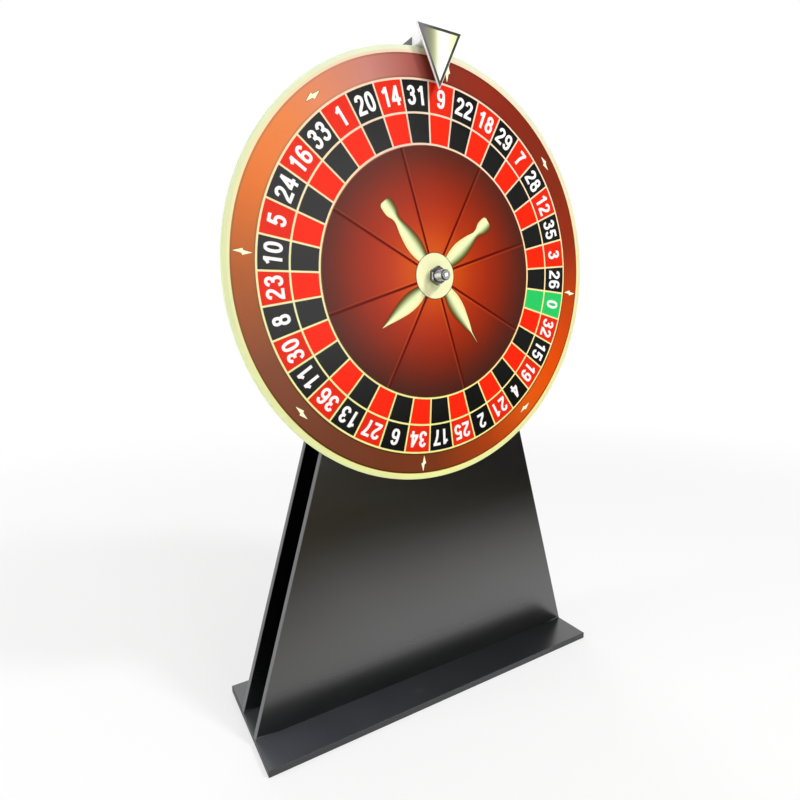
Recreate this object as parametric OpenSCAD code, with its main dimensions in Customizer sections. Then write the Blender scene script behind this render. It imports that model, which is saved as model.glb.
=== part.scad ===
// Carnival game wheel on a floor stand.
// Two sloping boards on a base carry a spindle in two ball bearings.
// The printed wheel turns in front of them, under a fixed pointer.
// X runs to the right, Y runs away from the player and Z runs up.
// The origin is the middle of the base's underside.

/* [Base] */
// Width of the base board
base_w = 584; // [480:1:720]
// Depth of the base board
base_d = 192; // [150:1:280]
// Thickness of the base board
base_t = 10; // [6:0.5:20]

/* [Uprights] */
// How far the uprights' feet stand in from the ends of the base
upright_inset = 0; // [0:1:60]
// Width of each upright at its top, and of the bridge block
upright_top_w = 54; // [48:1:110]
// Thickness of each upright
upright_t = 10; // [7:0.5:18]
// Clear space between the two uprights
upright_gap = 52; // [44:1:90]
// Length of the rail between the uprights' feet
rail_l = 420; // [300:1:480]
// Height of that rail
rail_h = 40; // [35:1:80]

/* [Wheel] */
// Diameter of the wheel
wheel_d = 600; // [450:1:800]
// Thickness of the wheel's board
wheel_t = 8; // [5:0.5:14]
// Height of the wheel's lowest point above the base board
wheel_rise = 330; // [220:1:450]
// Gap between the wheel's back and the front upright
wheel_gap = 5.9; // [5:0.1:14]
// Thickness of the printed film on the wheel
film_t = 0.4; // [0.2:0.1:1]
// Bare rim of the board outside the film
film_margin = 5.5; // [1:0.5:15]

/* [Pointer] */
// Width of the pointer's top edge
pointer_w = 72; // [50:1:110]
// Height of the pointer
pointer_h = 76; // [45:1:120]
// Thickness of the pointer's plate
pointer_t = 3; // [2:0.5:8]
// Thickness of the pointer's printed film
pointer_film_t = 0.3; // [0.2:0.1:1]
// Bare edge of the plate outside its film
pointer_margin = 0.6; // [0.2:0.1:3]
// Gap between the wheel's face and the pointer
pointer_gap = 10; // [5:0.5:25]
// How far the pointer stands above the bridge block
pointer_rise = 6; // [0:0.5:10]
// Gap between the wheel's rim and the spacer above it
rim_gap = 2; // [1:0.5:8]
// Width of the spacer behind the pointer
spacer_w = 54; // [36:1:90]
// Height of the spacer
spacer_h = 14; // [10:0.5:28]
// Height of the bridge block
bridge_h = 33; // [26:1:60]

/* [Spindle] */
// Diameter of the spindle
spindle_d = 16; // [14:0.5:18]
// Length of thread that stands out of the front nut
thread_out = 16; // [3:0.5:25]
// Length of thread that stands out of the rear nut
rear_thread_out = 3; // [1:0.5:12]
// Chamfer at the spindle's ends
spindle_chamfer = 1.5; // [0.5:0.1:2.5]
// Nut size across its flats
nut_af = 24; // [22:0.5:30]
// Height of the front nut
nut_h = 8; // [6:0.5:18]
// Height of the rear nut's six-sided part
rear_nut_h = 12; // [8:0.5:16]
// Width of the rear nut's nylon ring
insert_w = 1.6; // [1:0.1:2]
// Length of the rear nut's nylon ring
insert_h = 3.4; // [2:0.1:5]
// Wall of the collar around the nylon ring
collar_wall = 1; // [0.6:0.1:1.4]
// Outer diameter of the front washer, which hides behind the front nut
front_washer_d = 25; // [22:0.5:40]
// Outer diameter of the rear washer
rear_washer_d = 30; // [26:0.5:40]
// Thickness of the washers
washer_t = 3; // [1.5:0.1:4]
// Wall of the sleeves and of the hub's boss
sleeve_wall = 2.5; // [1.5:0.1:3]
// Gap between the rear upright and the rear washer
rear_gap = 2; // [1:0.5:10]
// Diameter of the hub flange
flange_d = 90; // [70:1:140]
// Thickness of the hub flange
flange_t = 3; // [2.5:0.1:4]

/* [Bearings] */
// Outer diameter of the bearings
bearing_od = 35; // [33:0.5:42]
// Width of the bearings
bearing_w = 11; // [10:0.5:14]
// Diameter of the balls
ball_d = 6; // [5:0.1:7]
// Number of balls in a bearing
ball_n = 8; // [6:1:9]
// Radial thickness of the ball cage
cage_wall = 1.5; // [1:0.1:2]
// Cage beside the balls
cage_side = 1; // [0.6:0.1:1.4]
// Width of the shoulder that holds a bearing in its housing
lip_w = 2.5; // [1.5:0.1:3]
// Thickness of that shoulder
lip_t = 3; // [2:0.1:5]
// Wall of the bearing housings
housing_wall = 6; // [4:0.5:10]
// Width of the housings' flange around the wall
housing_rim = 18.5; // [14:0.5:30]
// Thickness of the housings' flange
housing_t = 5; // [4:0.5:8]

/* [Screws] */
// Diameter of the board screws
wood_d = 4.5; // [3.5:0.1:5]
// Head diameter of the board screws
wood_head_d = 9; // [8:0.1:9.6]
// Depth that board screws reach into the next board
wood_bite = 28; // [15:1:30]
// Screws along each upright's foot
foot_screw_n = 4; // [2:1:6]
// Distance from an upright's corner to its first foot screw
foot_screw_inset = 67; // [40:1:110]
// Distance from the rail's ends to its first screw
rail_screw_inset = 40; // [25:1:60]
// Distance from the bridge's ends to its screws
bridge_screw_inset = 7; // [6:0.5:9]
// Distance from a bridge screw to the bracket screw beside it
bracket_pitch = 11; // [9:0.5:13]
// Diameter of the bracket and housing screws
machine_d = 5; // [4:0.1:6]
// Head diameter of the bracket and housing screws
machine_head_d = 9.5; // [8:0.1:11]
// Head height of the bracket screws
machine_head_h = 3.4; // [2:0.1:5]
// Depth that the bracket screws reach into the spacer
bracket_bite = 16; // [8:0.5:20]
// Screws in each housing
housing_screw_n = 4; // [3:1:6]
// Diameter of the hub screws
hub_screw_d = 4; // [3:0.1:5]
// Head diameter of the hub screws
hub_head_d = 8; // [7:0.1:8.6]
// Screws in the hub flange
hub_screw_n = 6; // [3:1:8]
// Wheel board left in front of the hub screws' points
hub_screw_skin = 2; // [1.5:0.1:3]

/* [Clearances] */
// Radial clearance of the spindle in what it carries
spindle_fit = 0.02; // [0.01:0.01:0.1]
// Radial clearance of the bearings in their housings
ring_fit = 0.02; // [0.01:0.01:0.1]
// Clearance of the balls in their grooves
ball_fit = 0.06; // [0.02:0.01:0.1]
// Clearance of the balls in the cage
cage_fit = 0.1; // [0.05:0.01:0.2]
// Clearance around screws
screw_fit = 0.1; // [0.05:0.01:0.3]
// Radial clearance of the washers
washer_fit = 0.5; // [0.2:0.1:0.8]

/* [Hidden] */
$fn = 96;

// A cut runs this far past the face that it opens
cut = 1;
// A drilled hole runs this far past the screw's point
drill = 0.5;

// Heights
axle_z = base_t + wheel_rise + wheel_d / 2;
spacer_z = axle_z + wheel_d / 2 + rim_gap;
bridge_top_z = spacer_z + spacer_h;
upright_top_z = bridge_top_z - bridge_h;
pointer_top_z = bridge_top_z + pointer_rise;
bracket_z = spacer_z + spacer_h / 2;

// Places from front to back
upright_w = base_w - 2 * upright_inset;
inner_y = upright_gap / 2;
outer_y = inner_y + upright_t;
upright_mid_y = inner_y + upright_t / 2;
flange_y = -outer_y - wheel_gap;
disc_y = flange_y - wheel_t;
face_y = disc_y - film_t;
washer_y = face_y - washer_t;
nut_y = washer_y - nut_h;
tip_y = nut_y - thread_out;
pointer_y = face_y - pointer_gap - pointer_t;
spacer_d = pointer_gap - outer_y - face_y;
rear_washer_y = outer_y + rear_gap;
rear_nut_y = rear_washer_y + washer_t;
insert_y = rear_nut_y + rear_nut_h;
tail_y = insert_y + insert_h + rear_thread_out;

// Radii about the spindle
spindle_r = spindle_d / 2;
bore_r = spindle_r + spindle_fit;
sleeve_r = spindle_r + sleeve_wall;
pitch_r = (spindle_d + bearing_od) / 4;
ball_r = ball_d / 2;
groove_r = ball_r + ball_fit;
land = ball_d * 0.3;
ring_chamfer = 0.5;
opening_r = bearing_od / 2 - lip_w;
cup_r = bearing_od / 2 + housing_wall;
housing_r = cup_r + housing_rim;
housing_pitch_r = cup_r + housing_rim / 2;
hub_pitch_r = (flange_d / 2 + sleeve_r) / 2;
insert_r = spindle_r + insert_w;

// Screw places along X
foot_span = upright_w - 2 * foot_screw_inset;
foot_xs = [for (i = [0:foot_screw_n - 1]) -foot_span / 2 + i * foot_span / (foot_screw_n - 1)];
rail_x = rail_l / 2 - rail_screw_inset;
bridge_x = upright_top_w / 2 - bridge_screw_inset;
bracket_x = bridge_x - bracket_pitch;

// Puts a turned piece on the spindle's line, running back from y
module on_axle(y) {
    translate([0, y, axle_z])
        rotate([-90, 0, 0])
            children();
}

// Puts a turned piece on the spindle's line, running forward from y
module on_axle_forward(y) {
    translate([0, y, axle_z])
        rotate([90, 0, 0])
            children();
}

// Copies a piece around the spindle's line
module around(n, r, start) {
    for (i = [0:n - 1])
        rotate([0, 0, start + i * 360 / n])
            translate([r, 0, 0])
                children();
}

// Plain ring
module ring(inner, outer, length) {
    difference() {
        cylinder(r = outer, h = length);
        translate([0, 0, -cut])
            cylinder(r = inner, h = length + 2 * cut);
    }
}

// Ring with broken edges
module soft_ring(inner, outer, length) {
    c = ring_chamfer;
    rotate_extrude()
        polygon([
            [inner, c], [inner + c, 0], [outer - c, 0], [outer, c],
            [outer, length - c], [outer - c, length], [inner + c, length], [inner, length - c]
        ]);
}

// Groove that the balls run in
module ball_groove() {
    translate([0, 0, bearing_w / 2])
        rotate_extrude()
            translate([pitch_r, 0])
                circle(r = groove_r);
}

// Six-sided nut body with its corners turned off
module hex_body(length) {
    over = 0.5;
    corner_r = nut_af / 2 / cos(30) + over;
    turn = (corner_r - nut_af / 2) * tan(30);
    intersection() {
        rotate([0, 0, 30])
            cylinder(r = nut_af / 2 / cos(30), h = length, $fn = 6);
        rotate_extrude()
            polygon([
                [0, 0], [nut_af / 2, 0], [corner_r, turn],
                [corner_r, length - turn], [nut_af / 2, length], [0, length]
            ]);
    }
}

// Crossed recess in a screw head
module cross_recess(head_d) {
    for (a = [0, 90])
        rotate([0, 0, a])
            translate([-head_d * 0.28, -head_d * 0.06, -cut])
                cube([head_d * 0.56, head_d * 0.12, cut + head_d * 0.18]);
}

// Flush screw, its head at the origin and its point along +Z
module flush_screw(d, head_d, length) {
    head_h = (head_d - d) / 2;
    difference() {
        rotate_extrude()
            polygon([
                [0, 0], [head_d / 2, 0], [d / 2, head_h],
                [d / 2, length - d], [d / 6, length], [0, length]
            ]);
        cross_recess(head_d);
    }
}

// Hole for a flush screw
module flush_hole(d, head_d, depth) {
    head_h = (head_d - d) / 2;
    rotate_extrude()
        polygon([
            [0, -cut], [head_d / 2 + screw_fit + cut, -cut], [d / 2 + screw_fit, head_h],
            [d / 2 + screw_fit, depth], [0, depth]
        ]);
}

// Screw with a raised round head, its head's underside at the origin and its point along +Z
module raised_screw(d, head_d, head_h, length) {
    difference() {
        rotate_extrude()
            polygon([
                [0, -head_h], [head_d * 0.3, -head_h], [head_d / 2, -head_h * 0.4],
                [head_d / 2, 0], [d / 2, 0], [d / 2, length - d], [d / 6, length], [0, length]
            ]);
        translate([0, 0, -head_h])
            cross_recess(head_d);
    }
}

// Straight drilled hole, from just before the origin along +Z
module drilled(d, depth) {
    translate([0, 0, -cut])
        cylinder(d = d + 2 * screw_fit, h = depth + cut);
}

// Places of the screws under the base
module base_screw_places() {
    for (x = foot_xs)
        for (y = [-upright_mid_y, upright_mid_y])
            translate([x, y, 0])
                children();
    for (x = [-rail_x / 2, rail_x / 2])
        translate([x, 0, 0])
            children();
}

// Places of the screws through the rear upright into the rail, pointing forward
module rail_screw_places() {
    for (x = [-rail_x, 0, rail_x])
        translate([x, outer_y, base_t + rail_h / 2])
            rotate([90, 0, 0])
                children();
}

// Places of the screws on top of the bridge, pointing down
module bridge_screw_places() {
    for (x = [-bridge_x, bridge_x])
        for (y = [-upright_mid_y, upright_mid_y])
            translate([x, y, bridge_top_z])
                rotate([180, 0, 0])
                    children();
}

// Places of the screws behind the bridge, pointing forward
module bracket_screw_places() {
    for (x = [-bracket_x, bracket_x])
        translate([x, outer_y, bracket_z])
            rotate([90, 0, 0])
                children();
}

// Places of the housing screws, from a board's outer face towards the other board
module housing_screw_places() {
    around(housing_screw_n, housing_pitch_r, 180 / housing_screw_n)
        children();
}

// Outline of an upright, drawn across X and up
module upright_outline() {
    polygon([
        [-upright_w / 2, base_t], [upright_w / 2, base_t],
        [upright_top_w / 2, upright_top_z], [-upright_top_w / 2, upright_top_z]
    ]);
}

// Board of an upright with the drillings that both of them share
module upright_board(y) {
    difference() {
        translate([0, y + upright_t, 0])
            rotate([90, 0, 0])
                linear_extrude(height = upright_t)
                    upright_outline();
        on_axle(y - cut)
            cylinder(r = opening_r, h = upright_t + 2 * cut);
        base_screw_places()
            drilled(wood_d, base_t + wood_bite + drill);
        bridge_screw_places()
            drilled(wood_d, bridge_h + wood_bite + drill);
    }
}

// Flanged cup that holds one bearing, its flange's face at the origin
module housing() {
    bearing_r = bearing_od / 2 + ring_fit;
    depth = bearing_w + lip_t;
    difference() {
        rotate_extrude()
            polygon([
                [bearing_r, 0], [housing_r, 0], [housing_r, housing_t], [cup_r, housing_t],
                [cup_r, depth], [opening_r, depth], [opening_r, bearing_w], [bearing_r, bearing_w]
            ]);
        housing_screw_places()
            drilled(machine_d, housing_t + cut);
    }
}

// Fixed ring of a bearing
module outer_ring() {
    difference() {
        soft_ring(pitch_r + land, bearing_od / 2, bearing_w);
        ball_groove();
    }
}

// Turning ring of a bearing
module inner_ring() {
    difference() {
        soft_ring(bore_r, pitch_r - land, bearing_w);
        ball_groove();
    }
}

// Ring with a pocket for each ball
module cage() {
    width = ball_d + 2 * cage_side;
    difference() {
        translate([0, 0, (bearing_w - width) / 2])
            ring(pitch_r - cage_wall / 2, pitch_r + cage_wall / 2, width);
        translate([0, 0, bearing_w / 2])
            around(ball_n, pitch_r - cage_wall, 0)
                rotate([0, 90, 0])
                    cylinder(r = ball_r + cage_fit, h = 2 * cage_wall);
    }
}

// Balls of a bearing
module balls() {
    translate([0, 0, bearing_w / 2])
        around(ball_n, pitch_r, 0)
            sphere(r = ball_r);
}

// Triangle with its point down, drawn across X and up, set in from its edges by margin
module pointer_outline(margin) {
    side = norm([pointer_h, pointer_w / 2]);
    half = pointer_w / 2 - margin * (side + pointer_w / 2) / pointer_h;
    tip = pointer_h - margin * side / (pointer_w / 2);
    polygon([
        [-half, pointer_top_z - margin], [half, pointer_top_z - margin],
        [0, pointer_top_z - tip]
    ]);
}

module base_plate() {
    color("#2b2d2f")
        difference() {
            translate([-base_w / 2, -base_d / 2, 0])
                cube([base_w, base_d, base_t]);
            base_screw_places()
                flush_hole(wood_d, wood_head_d, base_t + cut);
        }
}

module front_upright() {
    color("#232526")
        difference() {
            upright_board(-outer_y);
            on_axle(-outer_y)
                housing_screw_places()
                    flush_hole(machine_d, machine_head_d, upright_t + cut);
        }
}

module rear_upright() {
    color("#232526")
        difference() {
            upright_board(inner_y);
            on_axle_forward(outer_y)
                housing_screw_places()
                    flush_hole(machine_d, machine_head_d, upright_t + cut);
            rail_screw_places()
                flush_hole(wood_d, wood_head_d, upright_t + cut);
        }
}

module lower_rail() {
    color("#202223")
        difference() {
            translate([-rail_l / 2, -inner_y, base_t])
                cube([rail_l, upright_gap, rail_h]);
            base_screw_places()
                drilled(wood_d, base_t + wood_bite + drill);
            rail_screw_places()
                drilled(wood_d, upright_t + wood_bite + drill);
        }
}

module base_screws() {
    color("#55585a")
        base_screw_places()
            flush_screw(wood_d, wood_head_d, base_t + wood_bite);
}

module rail_screws() {
    color("#55585a")
        rail_screw_places()
            flush_screw(wood_d, wood_head_d, upright_t + wood_bite);
}

module front_housing() {
    color("#9a9c9e")
        on_axle(-inner_y)
            housing();
}

module rear_housing() {
    color("#9a9c9e")
        on_axle_forward(inner_y)
            housing();
}

module front_housing_screws() {
    color("#b5b8ba")
        on_axle(-outer_y)
            housing_screw_places()
                flush_screw(machine_d, machine_head_d, upright_t + housing_t);
}

module rear_housing_screws() {
    color("#b5b8ba")
        on_axle_forward(outer_y)
            housing_screw_places()
                flush_screw(machine_d, machine_head_d, upright_t + housing_t);
}

module front_outer_ring() {
    color("#c6c8ca")
        on_axle(-inner_y)
            outer_ring();
}

module rear_outer_ring() {
    color("#c6c8ca")
        on_axle_forward(inner_y)
            outer_ring();
}

module bridge_block() {
    color("#2b2d2f")
        difference() {
            translate([-upright_top_w / 2, -outer_y, upright_top_z])
                cube([upright_top_w, 2 * outer_y, bridge_h]);
            bridge_screw_places()
                flush_hole(wood_d, wood_head_d, bridge_h + cut);
            bracket_screw_places()
                drilled(machine_d, 2 * outer_y + cut);
        }
}

module bridge_screws() {
    color("#55585a")
        bridge_screw_places()
            flush_screw(wood_d, wood_head_d, bridge_h + wood_bite);
}

module pointer_spacer() {
    color("#e8ebe4")
        difference() {
            translate([-spacer_w / 2, -outer_y - spacer_d, spacer_z])
                cube([spacer_w, spacer_d, spacer_h]);
            bracket_screw_places()
                drilled(machine_d, 2 * outer_y + bracket_bite + drill);
        }
}

module bracket_screws() {
    color("#b5b8ba")
        bracket_screw_places()
            raised_screw(machine_d, machine_head_d, machine_head_h, 2 * outer_y + bracket_bite);
}

module pointer_plate() {
    color("#efe9e6")
        translate([0, pointer_y + pointer_t, 0])
            rotate([90, 0, 0])
                linear_extrude(height = pointer_t)
                    pointer_outline(0);
}

module pointer_print() {
    color("#cfd3a4")
        translate([0, pointer_y, 0])
            rotate([90, 0, 0])
                linear_extrude(height = pointer_film_t)
                    pointer_outline(pointer_margin);
}

module wheel_disc() {
    color("#e5ebb0")
        on_axle(disc_y)
            difference() {
                ring(bore_r, wheel_d / 2, wheel_t);
                translate([0, 0, wheel_t + flange_t])
                    rotate([180, 0, 0])
                        around(hub_screw_n, hub_pitch_r, 0)
                            drilled(hub_screw_d, flange_t + wheel_t - hub_screw_skin + drill);
            }
}

module face_sheet() {
    color("#c8401e")
        on_axle(face_y)
            ring(bore_r, wheel_d / 2 - film_margin, film_t);
}

module hub_flange() {
    boss = wheel_gap + upright_t;
    color("#8f9294")
        on_axle(flange_y)
            difference() {
                rotate_extrude()
                    polygon([
                        [bore_r, 0], [flange_d / 2, 0], [flange_d / 2, flange_t],
                        [sleeve_r, flange_t], [sleeve_r, boss], [bore_r, boss]
                    ]);
                translate([0, 0, flange_t])
                    rotate([180, 0, 0])
                        around(hub_screw_n, hub_pitch_r, 0)
                            flush_hole(hub_screw_d, hub_head_d, flange_t + cut);
            }
}

module hub_screws() {
    color("#b5b8ba")
        on_axle(flange_y + flange_t)
            rotate([180, 0, 0])
                around(hub_screw_n, hub_pitch_r, 0)
                    flush_screw(hub_screw_d, hub_head_d, flange_t + wheel_t - hub_screw_skin);
}

module spindle() {
    length = tail_y - tip_y;
    c = spindle_chamfer;
    color("#d4d7d9")
        on_axle(tip_y)
            rotate_extrude()
                polygon([
                    [0, 0], [spindle_r - c, 0], [spindle_r, c],
                    [spindle_r, length - c], [spindle_r - c, length], [0, length]
                ]);
}

module front_washer() {
    color("#cfd2d4")
        on_axle(washer_y)
            ring(spindle_r + washer_fit, front_washer_d / 2, washer_t);
}

module front_nut() {
    color("#dadddf")
        on_axle(nut_y)
            difference() {
                hex_body(nut_h);
                translate([0, 0, -cut])
                    cylinder(r = bore_r, h = nut_h + 2 * cut);
            }
}

module front_inner_ring() {
    color("#c6c8ca")
        on_axle(-inner_y)
            inner_ring();
}

module rear_inner_ring() {
    color("#c6c8ca")
        on_axle_forward(inner_y)
            inner_ring();
}

module centre_sleeve() {
    color("#a9acae")
        on_axle(-inner_y + bearing_w)
            ring(bore_r, sleeve_r, upright_gap - 2 * bearing_w);
}

module rear_sleeve() {
    color("#a9acae")
        on_axle(inner_y)
            ring(bore_r, sleeve_r, upright_t + rear_gap);
}

module rear_washer() {
    color("#cfd2d4")
        on_axle(rear_washer_y)
            ring(spindle_r + washer_fit, rear_washer_d / 2, washer_t);
}

module rear_nut() {
    color("#dadddf")
        on_axle(rear_nut_y)
            difference() {
                union() {
                    hex_body(rear_nut_h);
                    cylinder(r = insert_r + collar_wall, h = rear_nut_h + insert_h);
                }
                translate([0, 0, -cut])
                    cylinder(r = bore_r, h = rear_nut_h + 2 * cut);
                translate([0, 0, rear_nut_h])
                    cylinder(r = insert_r, h = insert_h + cut);
            }
}

module rear_nut_insert() {
    color("#3f6fb5")
        on_axle(insert_y)
            ring(bore_r, insert_r - spindle_fit, insert_h);
}

module front_cage() {
    color("#c9a45a")
        on_axle(-inner_y)
            cage();
}

module front_balls() {
    color("#d9dcde")
        on_axle(-inner_y)
            balls();
}

module rear_cage() {
    color("#c9a45a")
        on_axle_forward(inner_y)
            cage();
}

module rear_balls() {
    color("#d9dcde")
        on_axle_forward(inner_y)
            balls();
}

base_plate();
front_upright();
rear_upright();
lower_rail();
base_screws();
rail_screws();
front_housing();
rear_housing();
front_housing_screws();
rear_housing_screws();
front_outer_ring();
rear_outer_ring();
bridge_block();
bridge_screws();
pointer_spacer();
bracket_screws();
pointer_plate();
pointer_print();
wheel_disc();
face_sheet();
hub_flange();
hub_screws();
spindle();
front_washer();
front_nut();
front_inner_ring();
rear_inner_ring();
centre_sleeve();
rear_sleeve();
rear_washer();
rear_nut();
rear_nut_insert();
front_cage();
front_balls();
rear_cage();
rear_balls();
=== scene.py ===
# %% [markdown]
# # A numbered game wheel on a floor stand
# A printed wheel, 600 mm across, turns on a spindle in front of two sloping black boards, under a
# fixed pointer. The measured solids are loaded first and stay where they are. Each lesson step then
# either dresses a solid with a better finish, or puts a finer surface in its place. All shapes below
# are worked out in millimetres and written into the meshes in metres.

# %% Load the measured solids
import math

import bmesh
import bpy
import numpy as np
from mathutils import Matrix, Vector


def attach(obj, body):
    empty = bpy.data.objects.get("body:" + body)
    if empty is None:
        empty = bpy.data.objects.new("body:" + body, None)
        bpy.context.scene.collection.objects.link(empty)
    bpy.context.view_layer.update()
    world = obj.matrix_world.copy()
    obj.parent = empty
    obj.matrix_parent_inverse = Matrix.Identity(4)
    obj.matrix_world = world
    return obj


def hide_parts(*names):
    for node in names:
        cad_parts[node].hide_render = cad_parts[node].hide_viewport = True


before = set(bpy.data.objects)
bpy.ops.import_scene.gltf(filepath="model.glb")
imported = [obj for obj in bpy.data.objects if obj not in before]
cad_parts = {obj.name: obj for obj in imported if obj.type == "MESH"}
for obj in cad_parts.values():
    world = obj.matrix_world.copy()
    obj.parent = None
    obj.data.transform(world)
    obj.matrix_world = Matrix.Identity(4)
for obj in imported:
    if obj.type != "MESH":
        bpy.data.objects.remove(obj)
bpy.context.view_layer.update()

MM = 0.001
scene = bpy.context.scene

# %% [markdown]
# ## The camera
# The photograph was taken from the player's left, a little below the wheel's middle, with a wide lens.
# A camera could be aimed by eye, but the wheel's circles and the base board's corners fix its place,
# so the script states the three directions of the camera: its right, its up and its back.

# %% Camera
CAMERA_AT = (-0.4525, -0.7148, 0.5852)
CAMERA_RIGHT = (0.8609, -0.5086, -0.0145)
CAMERA_UP = (0.0909, 0.1258, 0.9879)
CAMERA_BACK = (-0.5006, -0.8518, 0.1545)
SENSOR_WIDTH, FOCAL_LENGTH = 36.0, 24.48

lens = bpy.data.cameras.new("player_view")
lens.sensor_width, lens.lens = SENSOR_WIDTH, FOCAL_LENGTH
lens.clip_start = 0.01
camera = bpy.data.objects.new("player_view", lens)
camera.location = CAMERA_AT
camera.rotation_euler = Matrix((CAMERA_RIGHT, CAMERA_UP, CAMERA_BACK)).transposed().to_euler()
scene.collection.objects.link(camera)
scene.camera = camera
scene.view_settings.view_transform = "Standard"
print("camera lens", FOCAL_LENGTH, "mm at", CAMERA_AT)

# %% [markdown]
# ## Small helpers for nodes
# Every finish below is a tree of nodes. Adding a node, setting its sockets and drawing wires takes
# several lines in plain Blender code. Here a node is added with all that goes into it in one call:
# a socket gets either a plain value or another node. The other helpers make the commonest nodes.

# %% Node helpers
WHITE = (1.0, 1.0, 1.0, 1.0)


def fill(node, sockets):
    """Set a node's sockets. Each takes a plain value, or a wire: another node for its first output,
    or (node, output) for a chosen one."""
    for key, value in sockets.items():
        if isinstance(value, bpy.types.Node):
            value = value, 0
        if isinstance(value, tuple) and isinstance(value[0], bpy.types.Node):
            source, out = value
            node.id_data.links.new(source.outputs[out], node.inputs[key])
        else:
            node.inputs[key].default_value = value
    return node


def add(tree, kind, sockets=None, **settings):
    """Add a shader node, set its plain properties, then fill its sockets."""
    node = tree.nodes.new("ShaderNode" + kind)
    for key, value in settings.items():
        setattr(node, key, value)
    return fill(node, sockets or {})


def maths(tree, operation, *values):
    """A Math node; each value is a number or a wire."""
    return add(tree, "Math", dict(enumerate(values)), operation=operation)


def scaled(tree, value, factor, offset):
    """The value times factor, plus offset."""
    return maths(tree, "MULTIPLY_ADD", value, factor, offset)


def mask(tree, value, low, high):
    """0 below low, 1 above high, and a smooth step between them."""
    sockets = {"Value": value, "From Min": low, "From Max": high}
    return add(tree, "MapRange", sockets, interpolation_type="SMOOTHSTEP")


def object_place(tree):
    """The object's own coordinates, as three numbers X, Y and Z in metres."""
    return add(tree, "SeparateXYZ", {0: (add(tree, "TexCoord"), "Object")})


def srgb(red, green, blue):
    """A colour as a screen shows it, 0 to 255, turned into the linear light that nodes work with."""
    c = np.array([red, green, blue]) / 255.0
    linear = np.where(c <= 0.04045, c / 12.92, ((c + 0.055) / 1.055) ** 2.4)
    return (*linear.tolist(), 1.0)


print("mid grey 128 is", round(srgb(128, 128, 128)[0], 3), "in linear light")

# %% [markdown]
# ## Light and background
# The object stands in a bright room with a white backdrop. A brighter lamp could make the background
# white, but it would also bleach the object. So the world has two strengths: rays that the camera,
# a reflection or clear plastic sends out see plain white, and the light that falls on the object is
# softer. A reflection inside a reflection would see the white room again and lift the blacks, so from
# the second reflection on the room is dim as well.
#
# A lamp high on the right adds a direction and clear shadows under the pointer and the nut, and a wide
# weak one fills them from the player's side. One hangs above, one stands for a pale wall on the left,
# and the last one lights the back. Only the one above is seen in reflections.

# %% World and lamps
SKY_LIGHT = 0.24
WORLD_FIRST, SURFACE_FIRST = 2.5, 1.5


def first_reflection(tree, deepest):
    """1 up to the first reflection, and 0 for reflections of reflections. The world counts a ray one
    step deeper than a surface does, so each has its own limit: WORLD_FIRST or SURFACE_FIRST."""
    return maths(tree, "LESS_THAN", (add(tree, "LightPath"), "Ray Depth"), deepest)


def bright_rays(tree, deepest):
    """1 for rays from the camera, a first reflection or clear plastic, and 0 for scattered light."""
    path = add(tree, "LightPath")
    mirrored = maths(tree, "MULTIPLY", (path, "Is Glossy Ray"), first_reflection(tree, deepest))
    seen = maths(tree, "MAXIMUM", (path, "Is Camera Ray"), mirrored)
    return maths(tree, "MAXIMUM", seen, (path, "Is Transmission Ray"))


world = bpy.data.worlds.new("white_room")
world.use_nodes = True
scene.world = world
room = world.node_tree
room.nodes.clear()
soft = add(room, "Background", {"Color": (1.0, 0.99, 0.97, 1.0), "Strength": SKY_LIGHT})
white = add(room, "Background", {"Color": WHITE, "Strength": 1.0})
choice = add(room, "MixShader", {0: bright_rays(room, WORLD_FIRST), 1: soft, 2: white})
add(room, "OutputWorld", {"Surface": choice})

LAMPS = {  # place, aim and side in metres, watts
    "main_lamp": ((1.1, -1.7, 2.45), (0.0, 0.0, 0.62), 0.4, 44.0),
    "front_lamp": ((0.3, -2.6, 1.4), (0.0, 0.0, 0.6), 0.8, 15.0),
    "top_lamp": ((-0.3, -0.5, 2.6), (0.0, 0.0, 0.4), 1.4, 8.0),
    "wall_lamp": ((-2.5, 0.35, 1.0), (0.0, 0.0, 0.6), 1.2, 36.0),
    "back_lamp": ((0.5, 2.6, 1.6), (0.0, 0.0, 0.6), 1.6, 24.0),
}
for name, (place, aim, side, watts) in LAMPS.items():
    lamp = bpy.data.lights.new(name, "AREA")
    lamp.shape = "RECTANGLE"
    lamp.size = lamp.size_y = side
    lamp.energy = watts
    holder = bpy.data.objects.new(name, lamp)
    holder.location = place
    holder.rotation_euler = (Vector(aim) - Vector(place)).to_track_quat("-Z", "Y").to_euler()
    holder.visible_glossy = name == "top_lamp"
    scene.collection.objects.link(holder)
print("world light", SKY_LIGHT, "and", list(LAMPS))

# %% [markdown]
# ## The floor
# The floor is pale and plain and keeps the object's shadow. Far from the object it fades into the
# white of the room for the bright rays only, so there is no horizon behind the wheel.

# %% Floor
FLOOR_HALF, FLOOR_Z = 8.0, -0.0003
FLOOR_COLOUR = (0.93, 0.93, 0.935, 1.0)
FADE_START, FADE_END = 0.75, 2.4
NEAR_GLOW = 0.62


def rectangle(x0, x1, v0, v1):
    """Corners of a rectangle, anticlockwise."""
    return [(x0, v0), (x1, v0), (x1, v1), (x0, v1)]


def level(z, *corners):
    """Corners (x, y) of a lying sheet, all at the height z."""
    return [(x, y, z) for x, y in corners]


def stage_sheet(name, corners):
    """A flat sheet of the stage from its four corners, in metres, with the nodes of its material."""
    mesh = bpy.data.meshes.new(name)
    mesh.from_pydata(corners, [], [[0, 1, 2, 3]])
    sheet = bpy.data.objects.new(name, mesh)
    scene.collection.objects.link(sheet)
    material = bpy.data.materials.new(name)
    material.use_nodes = True
    mesh.materials.append(material)
    return sheet, material.node_tree


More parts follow.
